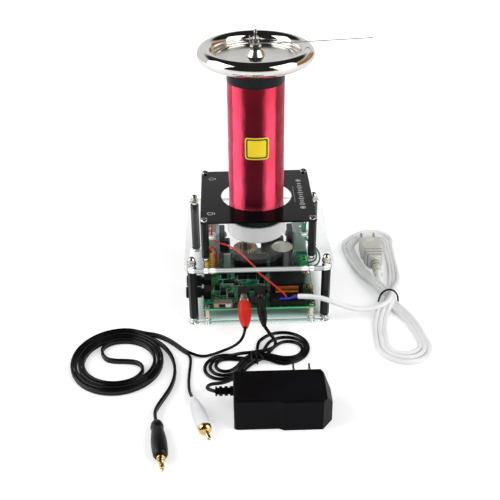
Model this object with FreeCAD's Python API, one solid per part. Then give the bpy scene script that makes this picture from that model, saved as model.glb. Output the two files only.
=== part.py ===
import FreeCAD, Part
import math
import os

# Desktop resonant transformer: two clear decks on posts, a driver board on the lower deck, a
# flat primary board on top, and a wound secondary column that carries a spun ring electrode.
# Millimetres. Origin: centre of the lower deck's underside, on the coil axis. +Z up,
# -Y is the connector side, +X the mains side.

V = FreeCAD.Vector

# ---------------------------------------------------------------- decks and posts
deck_w = 130.0              # both clear decks are square
deck_t = 5.0
deck_corner_r = 10.0
lower_post_pitch = 117.0    # centre to centre, both ways
lower_post_len = 50.0
lower_post_af = 7.0         # hexagon across flats
lower_thread_d = 4.0
upper_post_pitch = 93.0
upper_post_len = 35.0
upper_post_af = 6.0
upper_thread_d = 3.0
thread_gap = 0.1            # on the diameter, threads are plain cylinders
screw_hole_gap = 0.5        # on the diameter, clearance holes in decks and boards
screw_grip = 8.0            # how far a screw goes into its post
post_chamfer = 0.6

# ---------------------------------------------------------------- primary board
coil_board_w = 100.0
coil_board_t = 1.6
coil_window_d = 63.5

# ---------------------------------------------------------------- secondary column
tube_od = 48.3
tube_wall = 1.8
tube_len = 154.0
winding_t = 0.4
wrap_gap = 0.05             # radial, between the tube and what is wound on it
band_t = 0.6
lower_band_w = 12.0
upper_band_w = 11.5
cap_wall = 2.15
cap_h = 16.0
cap_floor_t = 3.0
cap_bore_gap = 0.4          # on the diameter
cap_corner_r = 3.0
band_rise = 0.3             # the lower band starts this far above the cap
plug_flange_t = 2.0
plug_spigot_h = 12.0
plug_boss_d = 16.0
plug_boss_h = 6.6

# ---------------------------------------------------------------- ring electrode
ring_od = 98.0
ring_tube_d = 12.6
disc_drop = 2.0             # disc plane below the ring's centre plane
disc_t = 0.8
disc_bead_r = 33.0
disc_bead_w = 1.6
boss_base_d = 16.0
boss_top_d = 10.0
boss_h = 5.0
stud_d = 5.0
stud_tip_d = 3.0
stud_grip = 10.0
stud_nut_af = 8.0
stud_nut_h = 4.0
clamp_nut_af = 5.5
clamp_nut_h = 4.4
stud_tip_rise = 7.0         # bare tip above the clamp nut
wire_d = 0.9
wire_eye_gap = 0.3          # round the stud, and above and below the eye
wire_reach = 97.0
wire_rise = 3.0
wire_spike_h = 6.5

# ---------------------------------------------------------------- driver board
board_w = 100.0
board_d = 100.0
board_t = 1.6
board_front_y = -63.5
board_corner_r = 2.5
board_standoff_h = 10.0
board_standoff_af = 5.5
board_hole_inset = 3.5

# ---------------------------------------------------------------- controls
knob_d = 10.2
knob_len = 14.0
knob_flutes = 18
knob_flute_d = 1.1
pot_depth = 6.5
pot_w = 10.6
pot_h = 8.4
pot_axis_h = 4.4            # shaft height above the board
pot_bush_d = 7.4
pot_bush_len = 1.6
pot_edge_x = 0.6            # case face inside the board's edge
shaft_d = 6.0
shaft_gap = 0.1             # on the diameter, a running fit
knob_gap = 0.4              # between the bush and the knob
pot_front_y = -42.5
pot_pitch = 19.0
switch_x = -32.3
switch_w = 16.4
switch_d = 6.0
switch_h = 5.0
switch_wall = 0.5
switch_front_y = -62.4
slider_w = 4.4
slider_travel = 6.0
slider_gap = 0.3
slot_h = 2.6
slider_out = 1.0            # how far the white button stands out of the can

# ---------------------------------------------------------------- jacks and plugs
signal_jack_x = -13.7
supply_jack_x = 0.8
jack_w = 10.4
jack_d = 13.0
jack_h = 10.6
jack_front_y = -56.5
jack_axis_h = 5.7           # above the board
jack_sink = 3.0             # how deep a collar sits in its jack
signal_collar_od = 8.2
signal_collar_id = 3.6
signal_collar_len = 7.0     # in front of the jack
supply_ring_od = 9.2
supply_ring_len = 4.0
plug_gap = 0.15             # radial, between a plug and the jack it is pushed on
signal_boot_d = 11.8
signal_boot_len = 35.0
rca_shell_d = 10.4
rca_shell_len = 8.5
rca_pin_d = 3.2
rca_pin_len = 14.0
stereo_boot_d = 12.2
stereo_boot_len = 36.8
stereo_collar_d = 6.6
stereo_pin_d = 3.5
stereo_pin_len = 12.0
supply_barrel_d = 5.5
supply_barrel_len = 9.0
supply_boot_d = 7.9
supply_boot_len = 34.5

# ---------------------------------------------------------------- parts on the driver board
can_d = 22.0
can_h = 30.0
can_pos = (23.0, -13.0)
choke_od = 26.0
choke_id = 12.0
choke_h = 11.0
choke_pos = (-10.0, 22.0)
choke_lay = 1.6             # thickness of the copper over the core
sink_x = 35.5               # inner face of the bent heat sinks
sink_t = 2.0
sink_front_y = 8.0
sink_depth = 21.5
sink_flange_w = 13.5
sink_h = 32.5
sink_corner_r = 6.0
pad_t = 1.0
fet_w = 15.9
fet_h = 20.8
fet_t = 5.0
fet_lead_len = 11.0
fet_hole_drop = 6.0
trafo_x = (11.0, 40.0)
trafo_y = (-45.0, -25.5)
trafo_h = 13.4
trafo_leg = 3.6
cover_x = (10.0, 41.0)
cover_y = (-62.0, -47.5)
cover_h = 5.4
gold_coil_d = 9.5
gold_coil_h = 22.0
gold_coil_pos = (-44.0, -5.0)
terminal_pos = (44.0, -0.8)
terminal_pitch = 5.08
fuse_x = 45.6
fuse_y = (-46.0, -14.0)
fuse_d = 6.3
fuse_axis_h = 6.0

# ---------------------------------------------------------------- cords
mains_cord_d = 4.6
supply_cord_d = 3.0
audio_single_d = 2.6        # one conductor; the twin is two of them, one above the other
lead_d = 1.7
mains_tie_at = (120.5, -36.0)
mains_waist_r = 7.0
mains_hank_h = 7.0          # the loops lie in one to two layers
mains_waist_h = 3 * mains_cord_d
supply_tie_at = (-7.0, -118.0)
supply_waist_r = 4.2
supply_hank_h = 6.0
supply_waist_h = 8.6
audio_ring_at = (-121.3, -116.0)
audio_ring_od = 80.5
audio_ring_id = 53.5
adapter_x = (-25.5, 50.0)
adapter_y = (-204.0, -165.0)
adapter_h = 28.0
adapter_relief_y = -172.6
adapter_relief_z = 14.0
relief_len = 14.0
blade_w = 6.35
blade_t = 1.5
blade_len = 17.0
blade_pitch = 12.7

# ---------------------------------------------------------------- heights worked out
deck1_top = deck_t
deck2_low = deck1_top + lower_post_len
deck2_top = deck2_low + deck_t
coil_board_low = deck2_top + upper_post_len
coil_board_top = coil_board_low + coil_board_t
board_low = deck1_top + board_standoff_h
board_top = board_low + board_t
board_mid_y = board_front_y + board_d / 2
tube_low = deck2_top + cap_floor_t
tube_top = tube_low + tube_len
cap_od = tube_od + cap_bore_gap + 2 * cap_wall
cap_top = deck2_top + cap_h
lower_band_low = cap_top + band_rise
winding_low = lower_band_low + lower_band_w
winding_top = tube_top - upper_band_w
flange_top = tube_top + plug_flange_t
disc_low = flange_top + plug_boss_h
disc_top = disc_low + disc_t
ring_mid = disc_low + disc_t / 2 + disc_drop
nut_low = disc_top + boss_h
nut_top = nut_low + stud_nut_h
eye_mid = nut_top + wire_eye_gap + wire_d / 2
clamp_low = eye_mid + wire_d / 2 + wire_eye_gap
clamp_top = clamp_low + clamp_nut_h
axis_h = board_top + pot_axis_h
jack_axis = board_top + jack_axis_h


# ================================================================ shared shapes
def box(x0, x1, y0, y1, z0, z1):
    return Part.makeBox(x1 - x0, y1 - y0, z1 - z0, V(x0, y0, z0))


def rod(d, start, end):
    """A round bar from one point to another."""
    a, b = V(*start), V(*end)
    return Part.makeCylinder(d / 2, (b - a).Length, a, b - a)


def pipe_ring(od, bore, start, end):
    return rod(od, start, end).cut(rod(bore, start, end))


def hex_bar(af, x, y, z0, z1, turn=0.0):
    """An upright hexagonal bar, measured across its flats."""
    r = af / math.sqrt(3)
    corners = []
    for i in range(7):
        a = math.radians(60 * i + turn)
        corners.append(V(x + r * math.cos(a), y + r * math.sin(a), z0))
    return Part.Face(Part.makePolygon(corners)).extrude(V(0, 0, z1 - z0))


def chamfered_hex(af, x, y, z0, z1, c, both=True):
    """A hexagonal bar whose corners are turned off at its ends."""
    r = af / math.sqrt(3)
    half = af / 2
    bar = hex_bar(af, x, y, z0, z1)
    profile = [V(0, 0, z0), V(half if both else r, 0, z0)]
    if both:
        profile.append(V(r, 0, z0 + c))
    profile += [V(r, 0, z1 - c), V(half, 0, z1), V(0, 0, z1), V(0, 0, z0)]
    turned = Part.Face(Part.makePolygon(profile)).revolve(V(0, 0, 0), V(0, 0, 1), 360)
    turned.translate(V(x, y, 0))
    return bar.common(turned)


def turned(profile, x=0.0, y=0.0):
    """A piece turned about an upright axis from (radius, height) points."""
    points = [V(r, 0, z) for r, z in profile]
    face = Part.Face(Part.makePolygon(points + points[:1]))
    piece = face.revolve(V(0, 0, 0), V(0, 0, 1), 360)
    piece.translate(V(x, y, 0))
    return piece


def lay_along(piece, start, towards):
    """Move a piece built upright on the origin so that its +Z runs from start towards a point."""
    a, b = V(*start), V(*towards)
    piece.Placement = FreeCAD.Placement(a, FreeCAD.Rotation(V(0, 0, 1), b - a))
    return piece


def corners(pitch_x, pitch_y=None, mid_y=0.0):
    hx = pitch_x / 2
    hy = (pitch_y or pitch_x) / 2
    return [(sx * hx, mid_y + sy * hy) for sx in (-1, 1) for sy in (-1, 1)]


def plate(w, d, mid_y, z0, z1, corner_r):
    slab = box(-w / 2, w / 2, mid_y - d / 2, mid_y + d / 2, z0, z1)
    upright = [e for e in slab.Edges if abs(e.tangentAt(e.FirstParameter).z) > 0.99]
    return slab.makeFillet(corner_r, upright)


def group(solids):
    """Separate solids that share one node."""
    flat = []
    for s in solids:
        flat += s.Solids
    return Part.makeCompound(flat)


def countersunk_screw(x, y, d, length, head_d):
    """A flat-headed screw whose head is flush with z = 0, pointing up."""
    cone_h = (head_d - d) / 2
    return turned([(0, 0), (head_d / 2, 0), (head_d / 2, 0.3), (d / 2, 0.3 + cone_h),
                   (d / 2, length), (0, length)], x, y)


def countersink(x, y, d, head_d):
    gap = screw_hole_gap / 2
    cone_h = (head_d - d) / 2
    return turned([(0, -1), (head_d / 2 + gap, -1), (head_d / 2 + gap, 0.3),
                   (d / 2 + gap, 0.3 + cone_h), (d / 2 + gap, deck_t + 1), (0, deck_t + 1)], x, y)


def pan_screw(x, y, z, d, length, head_d, head_h, up=False):
    """A domed screw with a crossed recess. The head stands on z, the thread runs the other way."""
    r = head_d / 2
    rim = head_h * 0.45
    rise = head_h - rim
    big = (r * r + rise * rise) / (2 * rise)
    ball = Part.makeSphere(big, V(0, 0, head_h - big))
    head = Part.makeCylinder(r, head_h).common(ball)
    slot_l = head_d * 0.56
    slot_w = head_d * 0.13
    deep = head_h * 0.45
    for a, b in ((slot_l, slot_w), (slot_w, slot_l)):
        head = head.cut(box(-a / 2, a / 2, -b / 2, b / 2, head_h - deep, head_h + 1))
    screw = head.fuse(rod(d, (0, 0, -length), (0, 0, 0.2)))
    if up:
        screw.rotate(V(0, 0, 0), V(1, 0, 0), 180)
    screw.translate(V(x, y, z))
    return screw


def cord_path(points):
    """Straight runs joined by tangent arcs, each as large as its two runs allow."""
    pts = [V(*p) for p in points]
    edges = []
    radii = []
    last = pts[0]
    for i in range(1, len(pts) - 1):
        before = pts[i - 1] - pts[i]
        after = pts[i + 1] - pts[i]
        turn = math.pi - before.getAngle(after)
        cut = 0.45 * min(before.Length, after.Length)
        radii.append(cut / math.tan(turn / 2))
        u = V(before).normalize()
        w = V(after).normalize()
        a = pts[i] + u * cut
        b = pts[i] + w * cut
        mid_dir = (u + w).normalize()
        centre = pts[i] + mid_dir * (cut / math.cos((math.pi - turn) / 2))
        mid = centre - mid_dir * radii[-1]
        edges.append(Part.LineSegment(last, a).toShape())
        edges.append(Part.Arc(a, mid, b).toShape())
        last = b
    edges.append(Part.LineSegment(last, pts[-1]).toShape())
    return Part.Wire(edges), radii


def cord(name, points, d):
    """A round cord along a route of corner points."""
    path, radii = cord_path(points)
    start = V(*points[0])
    ahead = V(*points[1]) - start
    ring = Part.Wire(Part.makeCircle(d / 2, start, ahead))
    tube = path.makePipeShell([ring], True, True)
    length = sum(e.Length for e in path.Edges)
    share = tube.Volume / (math.pi * d * d / 4 * length)
    print(f"{name}: {length:.1f} mm, tightest bend {min(radii):.1f} mm "
          f"({min(radii) / d:.1f} diameters), volume ratio {share:.4f}")
    return tube


def two_circle_hull(c1, r1, c2, r2, z0, z1):
    """The outline round two circles, raised into a solid."""
    a = V(c1[0], c1[1], z0)
    b = V(c2[0], c2[1], z0)
    along = b - a
    gap = along.Length
    base = math.atan2(along.y, along.x)
    swing = math.acos((r1 - r2) / gap)

    def spot(c, r, angle):
        return c + V(r * math.cos(angle), r * math.sin(angle), 0)

    a1, a2 = spot(a, r1, base + swing), spot(a, r1, base - swing)
    b1, b2 = spot(b, r2, base + swing), spot(b, r2, base - swing)
    wire = Part.Wire([
        Part.Arc(a1, spot(a, r1, base + math.pi), a2).toShape(),
        Part.LineSegment(a2, b2).toShape(),
        Part.Arc(b2, spot(b, r2, base), b1).toShape(),
        Part.LineSegment(b1, a1).toShape(),
    ])
    return Part.Face(wire).extrude(V(0, 0, z1 - z0))


# ================================================================ decks, posts and screws
base_head_d = 8.0
board_head_d = 6.0


def bottom_deck():
    deck = plate(deck_w, deck_w, 0, 0, deck_t, deck_corner_r)
    for x, y in corners(lower_post_pitch):
        deck = deck.cut(countersink(x, y, lower_thread_d, base_head_d))
    for x, y in board_corners():
        deck = deck.cut(countersink(x, y, upper_thread_d, board_head_d))
    return deck


def middle_deck():
    deck = plate(deck_w, deck_w, 0, deck2_low, deck2_top, deck_corner_r)
    holes = [(x, y, lower_thread_d + screw_hole_gap) for x, y in corners(lower_post_pitch)]
    holes += [(x, y, upper_thread_d + screw_hole_gap) for x, y in corners(upper_post_pitch)]
    holes += [(x, y, grommet_neck_d + grommet_gap) for x, y in grommet_spots]
    holes.append((0, 0, lower_thread_d + screw_hole_gap))
    for x, y, d in holes:
        deck = deck.cut(rod(d, (x, y, deck2_low - 1), (x, y, deck2_top + 1)))
    return deck


def post(x, y, z0, length, af, thread_d):
    bar = chamfered_hex(af, x, y, z0, z0 + length, post_chamfer)
    return bar.cut(rod(thread_d + thread_gap, (x, y, z0 - 1), (x, y, z0 + length + 1)))


def lower_posts():
    return group([post(x, y, deck1_top, lower_post_len, lower_post_af, lower_thread_d)
                  for x, y in corners(lower_post_pitch)])


def upper_posts():
    return group([post(x, y, deck2_top, upper_post_len, upper_post_af, upper_thread_d)
                  for x, y in corners(upper_post_pitch)])


acorn_hex_h = 3.2
acorn_h = 8.0
acorn_bore_h = 5.6


def acorn_nut(x, y, z):
    """A domed cap nut with a washer face and a blind thread."""
    hexagon = chamfered_hex(lower_post_af, x, y, z, z + acorn_hex_h, 0.4, both=False)
    r = lower_post_af / 2 - 0.25
    dome_h = acorn_h - acorn_hex_h
    barrel = rod(2 * r, (x, y, z + acorn_hex_h - 0.1), (x, y, z + acorn_h - r))
    cap = Part.makeSphere(r, V(x, y, z + acorn_h - r))
    cap = cap.common(box(x - r, x + r, y - r, y + r, z + acorn_h - r, z + acorn_h + 1))
    nut = hexagon.fuse([barrel, cap]) if dome_h > r else hexagon.fuse(cap)
    bore = rod(lower_thread_d + thread_gap, (x, y, z - 1), (x, y, z + acorn_bore_h))
    return nut.cut(bore).removeSplitter()


def acorn_nuts():
    return group([acorn_nut(x, y, deck2_top) for x, y in corners(lower_post_pitch)])


cap_nut_h = 3.2


def deck_screws():
    """Flush screws below, studs through the middle deck, screws up into the upper posts."""
    pieces = []
    for x, y in corners(lower_post_pitch):
        pieces.append(countersunk_screw(x, y, lower_thread_d, deck1_top + screw_grip, base_head_d))
        pieces.append(rod(lower_thread_d, (x, y, deck2_low - screw_grip),
                          (x, y, deck2_top + acorn_bore_h - 0.4)))
    for x, y in corners(upper_post_pitch):
        pieces.append(pan_screw(x, y, deck2_low, upper_thread_d, deck_t + screw_grip, 5.6, 2.2,
                                up=True))
    screw_len = deck_t + cap_floor_t + cap_nut_h + 1.0
    pieces.append(pan_screw(0, 0, deck2_low, lower_thread_d, screw_len, 7.6, 2.8, up=True))
    nut = hex_bar(7.0, 0, 0, tube_low, tube_low + cap_nut_h)
    pieces.append(nut.cut(rod(lower_thread_d + thread_gap, (0, 0, tube_low - 1),
                              (0, 0, tube_low + cap_nut_h + 1))))
    return group(pieces)


def dome_screws():
    return group([pan_screw(x, y, coil_board_top, upper_thread_d, coil_board_t + screw_grip,
                            6.6, 2.6) for x, y in corners(upper_post_pitch)])


# ---------------------------------------------------------------- rubber grommets
grommet_neck_d = 6.0
grommet_flange_d = 8.4
grommet_flange_t = 1.0
grommet_gap = 0.2
grommet_bore_d = 4.2
grommet_spots = [(-41.4, -7.3), (43.5, -5.8)]


def grommets():
    rings = []
    neck = grommet_neck_d / 2
    rim = grommet_flange_d / 2
    bore = grommet_bore_d / 2
    low, top = deck2_low - grommet_flange_t, deck2_top + grommet_flange_t
    for x, y in grommet_spots:
        rings.append(turned([(bore, low + 0.3), (bore + 0.3, low), (rim - 0.3, low),
                             (rim, low + 0.3), (rim, deck2_low), (neck, deck2_low),
                             (neck, deck2_top), (rim, deck2_top), (rim, top - 0.3),
                             (rim - 0.3, top), (bore + 0.3, top), (bore, top - 0.3)], x, y))
    return group(rings)


# ================================================================ primary board and column
def coil_board():
    board = plate(coil_board_w, coil_board_w, 0, coil_board_low, coil_board_top, 0.8)
    board = board.cut(rod(coil_window_d, (0, 0, coil_board_low - 1), (0, 0, coil_board_top + 1)))
    for x, y in corners(upper_post_pitch):
        board = board.cut(rod(upper_thread_d + screw_hole_gap, (x, y, coil_board_low - 1),
                              (x, y, coil_board_top + 1)))
    return board


def base_cap():
    """A white end cap whose floor is screwed to the middle deck."""
    r = cap_od / 2
    bore = (tube_od + cap_bore_gap) / 2
    cup = Part.makeCylinder(r, cap_h, V(0, 0, deck2_top))
    low_edge = [e for e in cup.Edges if len(e.Vertexes) == 1 and
                abs(e.CenterOfMass.z - deck2_top) < 0.01]
    cup = cup.makeFillet(cap_corner_r, low_edge)
    cup = cup.cut(rod(2 * bore, (0, 0, tube_low), (0, 0, cap_top + 1)))
    rim = [e for e in cup.Edges if len(e.Vertexes) == 1 and abs(e.CenterOfMass.z - cap_top) < 0.01]
    cup = cup.makeFillet(0.6, rim)
    return cup.cut(rod(lower_thread_d + screw_hole_gap, (0, 0, deck2_top - 1), (0, 0, tube_low + 1)))


def coil_tube():
    return pipe_ring(tube_od, tube_od - 2 * tube_wall, (0, 0, tube_low), (0, 0, tube_top))


def coil_winding():
    inner = tube_od + 2 * wrap_gap
    return pipe_ring(inner + 2 * winding_t, inner, (0, 0, winding_low), (0, 0, winding_top))


def coil_bands():
    inner = tube_od + 2 * wrap_gap
    outer = inner + 2 * band_t
    return group([
        pipe_ring(outer, inner, (0, 0, lower_band_low), (0, 0, winding_low)),
        pipe_ring(outer, inner, (0, 0, winding_top), (0, 0, tube_top)),
    ])


def tube_plug():
    """The turned end plug: a spigot in the tube, a flange on it and a boss under the disc."""
    spigot = (tube_od - 2 * tube_wall - cap_bore_gap) / 2
    flange = tube_od / 2 + wrap_gap + band_t
    stud = (stud_d + thread_gap) / 2
    return turned([(stud, tube_top - plug_spigot_h), (spigot - 0.6, tube_top - plug_spigot_h),
                   (spigot, tube_top - plug_spigot_h + 0.6), (spigot, tube_top),
                   (flange, tube_top), (flange, flange_top - 0.5), (flange - 0.5, flange_top),
                   (plug_boss_d / 2, flange_top), (plug_boss_d / 2, disc_low), (stud, disc_low)])


# ---------------------------------------------------------------- ring electrode and stud
def ring_electrode():
    tube_r = ring_tube_d / 2
    return Part.makeTorus(ring_od / 2 - tube_r, tube_r, V(0, 0, ring_mid))


def ring_disc():
    """The spun centre sheet: bead near the rim, cone in the middle, rim in the ring's flank."""
    tube_r = ring_tube_d / 2
    drop = ring_mid - disc_top
    rim = ring_od / 2 - tube_r - math.sqrt(tube_r ** 2 - drop ** 2) - 0.1
    hole = (stud_d + screw_hole_gap) / 2
    base, top = boss_base_d / 2, boss_top_d / 2
    b0, b1 = disc_bead_r - disc_bead_w, disc_bead_r
    lift = 0.7
    cone_top = disc_top + boss_h
    return turned([
        (hole, cone_top - disc_t), (top - 0.5, cone_top - disc_t), (base - 0.5, disc_low),
        (b0, disc_low), (b0 + 0.4, disc_low + lift), (b1 - 0.4, disc_low + lift), (b1, disc_low),
        (rim, disc_low), (rim, disc_top), (b1 + 0.2, disc_top), (b1 - 0.2, disc_top + lift),
        (b0 + 0.2, disc_top + lift), (b0 - 0.2, disc_top), (base, disc_top), (top, cone_top),
        (hole, cone_top)])


def top_stud():
    """A stud that steps down to a finer thread and ends in a blunt point."""
    r, tip_r = stud_d / 2, stud_tip_d / 2
    end = clamp_top + stud_tip_rise
    low = tube_top - stud_grip
    return turned([(0, low), (r, low), (r, nut_top), (tip_r, nut_top), (tip_r, end - 2.2),
                   (tip_r - 0.55, end - 1.6), (tip_r - 0.45, end - 0.6), (0.35, end), (0, end)])


def top_nuts():
    lower = chamfered_hex(stud_nut_af, 0, 0, nut_low, nut_top, 0.5)
    lower = lower.cut(rod(stud_d + thread_gap, (0, 0, nut_low - 1), (0, 0, nut_top + 1)))
    upper = chamfered_hex(clamp_nut_af, 0, 0, clamp_low, clamp_top, 0.5)
    upper = upper.cut(rod(stud_tip_d + thread_gap, (0, 0, clamp_low - 1), (0, 0, clamp_top + 1)))
    return group([lower, upper])


def breakout_wire():
    """An eye round the stud with a long arm over the ring and a short upright end."""
    eye_r = stud_tip_d / 2 + wire_eye_gap + wire_d / 2
    eye = Part.makeTorus(eye_r, wire_d / 2, V(0, 0, eye_mid))
    arm, _ = cord_path([(eye_r, 0, eye_mid), (28, 0, eye_mid), (62, 0, eye_mid + 0.5 * wire_rise),
                        (wire_reach, 0, eye_mid + wire_rise)])
    ring = Part.Wire(Part.makeCircle(wire_d / 2, V(eye_r, 0, eye_mid), V(1, 0, 0)))
    arm = arm.makePipeShell([ring], True, True)
    spike, _ = cord_path([(-eye_r, 0, eye_mid), (-eye_r - 2.4, 0, eye_mid),
                          (-eye_r - 2.8, 0, eye_mid + wire_spike_h)])
    ring = Part.Wire(Part.makeCircle(wire_d / 2, V(-eye_r, 0, eye_mid), V(-1, 0, 0)))
    spike = spike.makePipeShell([ring], True, True)
    return eye.fuse([arm, spike])


# ================================================================ driver board
def board_corners():
    return corners(board_w - 2 * board_hole_inset, board_d - 2 * board_hole_inset, board_mid_y)


def main_board():
    board = plate(board_w, board_d, board_mid_y, board_low, board_top, board_corner_r)
    for x, y in board_corners():
        board = board.cut(rod(upper_thread_d + screw_hole_gap, (x, y, board_low - 1),
                              (x, y, board_top + 1)))
    return board


def board_standoffs():
    return group([post(x, y, deck1_top, board_standoff_h, board_standoff_af, upper_thread_d)
                  for x, y in board_corners()])


def board_screws():
    """Screws through the board and the deck, and one that clamps each power transistor."""
    pieces = []
    grip = board_standoff_h / 2 - 0.6
    for x, y in board_corners():
        pieces.append(pan_screw(x, y, board_top, upper_thread_d, board_t + grip, 5.6, 2.0))
        pieces.append(countersunk_screw(x, y, upper_thread_d, deck1_top + grip, board_head_d))
    for side in (-1, 1):
        z = fet_low + fet_h - fet_hole_drop
        screw = pan_screw(0, 0, 0, upper_thread_d, fet_t + pad_t + sink_t + 1.0, 5.6, 2.2)
        face = sink_x - pad_t - fet_t
        screw.rotate(V(0, 0, 0), V(0, 1, 0), -90 * side)
        screw.translate(V(side * face, fet_y, z))
        pieces.append(screw)
    return group(pieces)


# ---------------------------------------------------------------- potentiometers and knobs
pot_face_x = -board_w / 2 + pot_edge_x
knob_in_x = pot_face_x - pot_bush_len - knob_gap
knob_out_x = knob_in_x - knob_len


def pot_bodies():
    cases = []
    for y in (pot_front_y, pot_front_y + pot_pitch):
        case = box(pot_face_x, pot_face_x + pot_depth, y - pot_w / 2, y + pot_w / 2,
                   board_top, board_top + pot_h)
        bush = rod(pot_bush_d, (pot_face_x - pot_bush_len, y, axis_h), (pot_face_x + 0.5, y, axis_h))
        bore = rod(shaft_d + shaft_gap, (pot_face_x - pot_bush_len - 1, y, axis_h),
                   (pot_face_x + pot_depth - 1.5, y, axis_h))
        cases.append(case.fuse(bush).cut(bore))
    return group(cases)


def knob_and_shaft(y):
    """A fluted knob pressed on a round shaft that runs in the potentiometer's bush."""
    edge = 0.5
    r = knob_d / 2
    body = turned([(0, 0), (r, 0), (r, knob_len - edge), (r - edge, knob_len), (0, knob_len)])
    flutes = []
    for i in range(knob_flutes):
        a = 2 * math.pi * i / knob_flutes
        x, z = r * math.cos(a) * 1.03, r * math.sin(a) * 1.03
        flutes.append(rod(knob_flute_d, (x, z, 1.2), (x, z, knob_len + 1)))
    body = body.cut(flutes)
    body = body.cut(rod(shaft_d + shaft_gap, (0, 0, -1), (0, 0, knob_len - 2)))
    body = lay_along(body, (knob_in_x, y, axis_h), (knob_out_x, y, axis_h))
    shaft = rod(shaft_d, (pot_face_x + pot_depth - 2.0, y, axis_h), (knob_out_x + 2.4, y, axis_h))
    return group([body, shaft])


def front_knob():
    return knob_and_shaft(pot_front_y)


def rear_knob():
    return knob_and_shaft(pot_front_y + pot_pitch)


# ---------------------------------------------------------------- slide switch
slot_len = slider_w + slider_travel + 2 * slider_gap
slot_right = switch_x + slot_len / 2 + 1.6
slider_z = board_top + switch_h / 2


def switch_can():
    x0, x1 = switch_x - switch_w / 2, switch_x + switch_w / 2
    y0, y1 = switch_front_y, switch_front_y + switch_d
    can = box(x0, x1, y0, y1, board_top, board_top + switch_h)
    room = box(x0 + switch_wall, x1 - switch_wall, y0 + switch_wall, y1 - switch_wall,
               board_top + 1.0, board_top + switch_h - switch_wall)
    slot = box(slot_right - slot_len, slot_right, y0 - 1, y0 + switch_wall + 0.1,
               slider_z - slot_h / 2 - slider_gap, slider_z + slot_h / 2 + slider_gap)
    return can.cut(room).cut(slot)


def switch_slider():
    """The button and the carriage behind it, at the right end of its slot."""
    x1 = slot_right - slider_gap
    x0 = x1 - slider_w
    y_in = switch_front_y + switch_wall + slider_gap
    button = box(x0, x1, switch_front_y - slider_out, y_in + 0.5, slider_z - slot_h / 2,
                 slider_z + slot_h / 2)
    lip = 0.5
    low = board_top + 1.0 + 0.25
    carriage = box(x0 - lip, x1 + lip, y_in, y_in + 3.0, low, board_top + switch_h - switch_wall - 0.25)
    return button.fuse(carriage).removeSplitter()


# ---------------------------------------------------------------- jacks
def jack_bodies():
    bodies = []
    for x, w, collar, bore, deep in (
            (signal_jack_x, jack_w, signal_collar_od, rca_pin_d + 0.6, rca_pin_len),
            (supply_jack_x, jack_w - 0.8, supply_ring_od, supply_barrel_d + 2 * plug_gap,
             supply_barrel_len)):
        body = box(x - w / 2, x + w / 2, jack_front_y, jack_front_y + jack_d, board_top,
                   board_top + jack_h)
        tops = [e for e in body.Edges if abs(e.CenterOfMass.z - board_top - jack_h) < 0.01]
        body = body.makeFillet(0.5, tops)
        body = body.cut(rod(collar, (x, jack_front_y - 1, jack_axis),
                            (x, jack_front_y + jack_sink, jack_axis)))
        body = body.cut(rod(bore, (x, jack_front_y, jack_axis),
                            (x, jack_front_y + deep - supply_ring_len, jack_axis)))
        bodies.append(body)
    return group(bodies)


def jack_collars():
    """The plated contact sleeve of the signal jack and the ring of the supply jack."""
    back = jack_front_y + jack_sink
    sleeve = pipe_ring(signal_collar_od, signal_collar_id, (signal_jack_x, back, jack_axis),
                       (signal_jack_x, jack_front_y - signal_collar_len, jack_axis))
    ring = pipe_ring(supply_ring_od, supply_barrel_d + 2 * plug_gap,
                     (supply_jack_x, back, jack_axis),
                     (supply_jack_x, jack_front_y - supply_ring_len, jack_axis))
    return group([sleeve, ring])


# ---------------------------------------------------------------- power transistors and sinks
fet_y = sink_front_y + sink_depth / 2 + 0.6
fet_low = board_top + fet_lead_len


def bent_sink(side):
    """An angle of bent sheet: a flank that carries the transistor and a flange behind it."""
    top = board_top + sink_h
    flank = box(sink_x, sink_x + sink_t, sink_front_y, sink_front_y + sink_depth, board_top, top)
    back = sink_front_y + sink_depth
    flange = box(sink_x, sink_x + sink_flange_w, back - sink_t, back, board_top, top)
    outer = [e for e in flange.Edges if abs(e.CenterOfMass.x - sink_x - sink_flange_w) < 0.01
             and abs(e.CenterOfMass.z - top) < 0.01]
    flange = flange.makeFillet(sink_corner_r, outer)
    sink = flank.fuse(flange).removeSplitter()
    hole_z = fet_low + fet_h - fet_hole_drop
    sink = sink.cut(rod(upper_thread_d + thread_gap, (sink_x - 1, fet_y, hole_z),
                        (sink_x + sink_t + 1, fet_y, hole_z)))
    eye_x = sink_x + 0.55 * sink_flange_w
    sink = sink.cut(rod(2.6, (eye_x, back - sink_t - 1, top - 5), (eye_x, back + 1, top - 5)))
    return sink if side > 0 else sink.mirror(V(0, 0, 0), V(1, 0, 0))


regulator_sink_x = (-31.0, -24.6)
regulator_sink_y = (-3.5, -0.5)
regulator_sink_h = 17.0


def heat_sinks():
    bar = box(*regulator_sink_x, *regulator_sink_y, board_top, board_top + regulator_sink_h)
    return group([bent_sink(-1), bent_sink(1), bar])


def thermal_pads():
    pads = []
    for side in (-1, 1):
        z0 = fet_low - 0.6
        pad = box(sink_x - pad_t, sink_x, fet_y - fet_w / 2 - 0.8, fet_y + fet_w / 2 + 0.8,
                  z0, fet_low + fet_h + 0.8)
        z = fet_low + fet_h - fet_hole_drop
        pad = pad.cut(rod(upper_thread_d + screw_hole_gap, (sink_x - pad_t - 1, fet_y, z),
                          (sink_x + 1, fet_y, z)))
        pads.append(pad if side > 0 else pad.mirror(V(0, 0, 0), V(1, 0, 0)))
    return group(pads)


fet_lead_pitch = 5.45


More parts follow.
